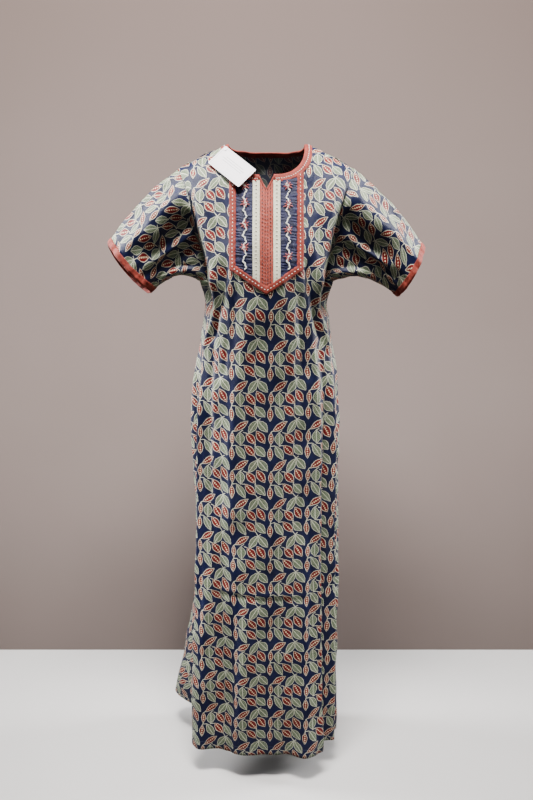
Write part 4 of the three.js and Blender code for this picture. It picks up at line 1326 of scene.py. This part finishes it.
# The card and its pin keep their own shape and take a finish.
for node, look in (("swing_tag", "card"), ("tag_pin", "nylon")):
    mesh = frame["nodes"][node].data
    mesh.materials.clear()
    mesh.materials.append(looks[look])


for name in ("right", "left"):
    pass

# Floor, backdrop, lights and camera

room = {"floorZ": -1.50, "wallY": 0.45, "halfWidth": 5.0, "height": 4.0,
        "floor": [(0.60, 0.58, 0.575, 1), (0.68, 0.66, 0.655, 1)],
        "wall": [(0.30, 0.235, 0.215, 1), (0.37, 0.30, 0.28, 1)], "bounce": (0.06, 0.055, 0.05, 1),
        # high: the darker colour that the backdrop fades to towards the top, painted shade
        "high": (0.125, 0.092, 0.082, 1),
        "far": (0.34, 0.27, 0.25, 1), "ambient": (0.85, 0.92, 1.0, 1), "ambientStrength": 0.05,
        "camera": (0, -1.690, -0.110), "pitch": -14.81, "lens": 22.8}


def stageMaterial(name, colours, oneSided=False):
    # mottled and matt. It throws back only part of the light that it seems to, so that it
    # doesn't fill in the shadows of the gown
    material, tree, shader = startMaterial(name, Roughness=0.9, **{"Specular IOR Level": 0.0})
    place = objectPlace(tree)
    cloud = noise(tree, place, 1.6, 3.0)
    parts = split(tree, place)
    colour = blendColour(tree, cloud, *colours)
    # painted shade: the wall grows darker towards the top, blending into the high colour
    colour = blendColour(tree, ramp(tree, parts[2], -1.2, 1.0), colour, room["high"])
    seen = add(tree, "ShaderNodeLightPath").outputs["Is Camera Ray"]
    feed(tree, shader.inputs["Base Color"], blendColour(tree, seen, room["bounce"], colour))
    if oneSided:
        behind = add(tree, "ShaderNodeNewGeometry").outputs["Backfacing"]
        clear = add(tree, "ShaderNodeBsdfTransparent").outputs[0]
        mixed = add(tree, "ShaderNodeMixShader", {0: behind, 1: shader.outputs[0], 2: clear})
        feed(tree, tree.nodes["Material Output"].inputs["Surface"], mixed.outputs[0])
    return material


def makeStage():
    # a level floor, and a wall behind the gown that is seen only from its front
    w, low, y = room["halfWidth"], room["floorZ"], room["wallY"]
    high = low + room["height"]
    for name, corners, oneSided in (
            ("floor", [(-w, -w, low), (w, -w, low), (w, w, low), (-w, w, low)], False),
            ("wall", [(-w, y, low), (w, y, low), (w, y, high), (-w, y, high)], True)):
        material = stageMaterial(name + "Finish", room[name], oneSided)
        newObject(name, np.array(corners), [[0, 1, 2, 3]], material, None)


def makeLight(name, place, aim, size, power, colour, spread):
    data = bpy.data.lights.new(name, "AREA")
    data.shape, data.size, data.size_y = "RECTANGLE", size[0], size[1]
    data.energy, data.color, data.spread = power, colour, math.radians(spread)
    obj = bpy.data.objects.new(name, data)
    obj.location = place
    direction = np.array(aim, float) - np.array(place, float)
    yaw = math.atan2(direction[0], direction[1])
    pitch = math.atan2(direction[2], math.hypot(direction[0], direction[1]))
    obj.rotation_euler = (math.pi / 2 + pitch, 0, -yaw)
    bpy.context.scene.collection.objects.link(obj)


# place, what it is aimed at, size, watts, colour and spread in degrees
lights = {
    "keyAbove": ((-0.10, -0.78, 2.00), (0, 0, -0.25), (1.0, 0.5), 250, (1.0, 0.98, 0.95), 180),
    "sideRight": ((1.5, 0.20, 0.0), (0, -0.10, -0.65), (0.3, 1.4), 13, (1, 1, 1), 75),
    "sideLeft": ((-1.5, 0.20, 0.0), (0, -0.10, -0.65), (0.3, 1.4), 17, (1, 1, 1), 75),
    "frontFill": ((0.35, -2.6, -0.5), (0, 0, -1.15), (1.0, 0.8), 1.45, (1, 1, 1), 45),
    "behind": ((0.6, 2.0, 1.8), (0, 0, -0.7), (1.4, 1.0), 95, (1, 1, 1), 110),
}
makeStage()
for name, values in lights.items():
    makeLight(name, *values)
world = bpy.data.worlds.new("studio")
world.use_nodes = True
tree = world.node_tree
ambient = tree.nodes["Background"]
ambient.inputs[0].default_value = room["ambient"]
ambient.inputs[1].default_value = room["ambientStrength"]
far = add(tree, "ShaderNodeBackground", {0: room["far"], 1: 1.0})
seen = add(tree, "ShaderNodeLightPath").outputs["Is Camera Ray"]
both = add(tree, "ShaderNodeMixShader", {0: seen, 1: ambient.outputs[0], 2: far.outputs[0]})
feed(tree, tree.nodes["World Output"].inputs["Surface"], both.outputs[0])
bpy.context.scene.world = world

cameraData = bpy.data.cameras.new("camera")
cameraData.sensor_fit = "VERTICAL"
cameraData.sensor_height = 24.0
cameraData.lens = room["lens"]
camera = bpy.data.objects.new("camera", cameraData)
camera.location = room["camera"]
camera.rotation_euler = (math.radians(90 + room["pitch"]), 0, 0)
bpy.context.scene.collection.objects.link(camera)
bpy.context.scene.camera = camera
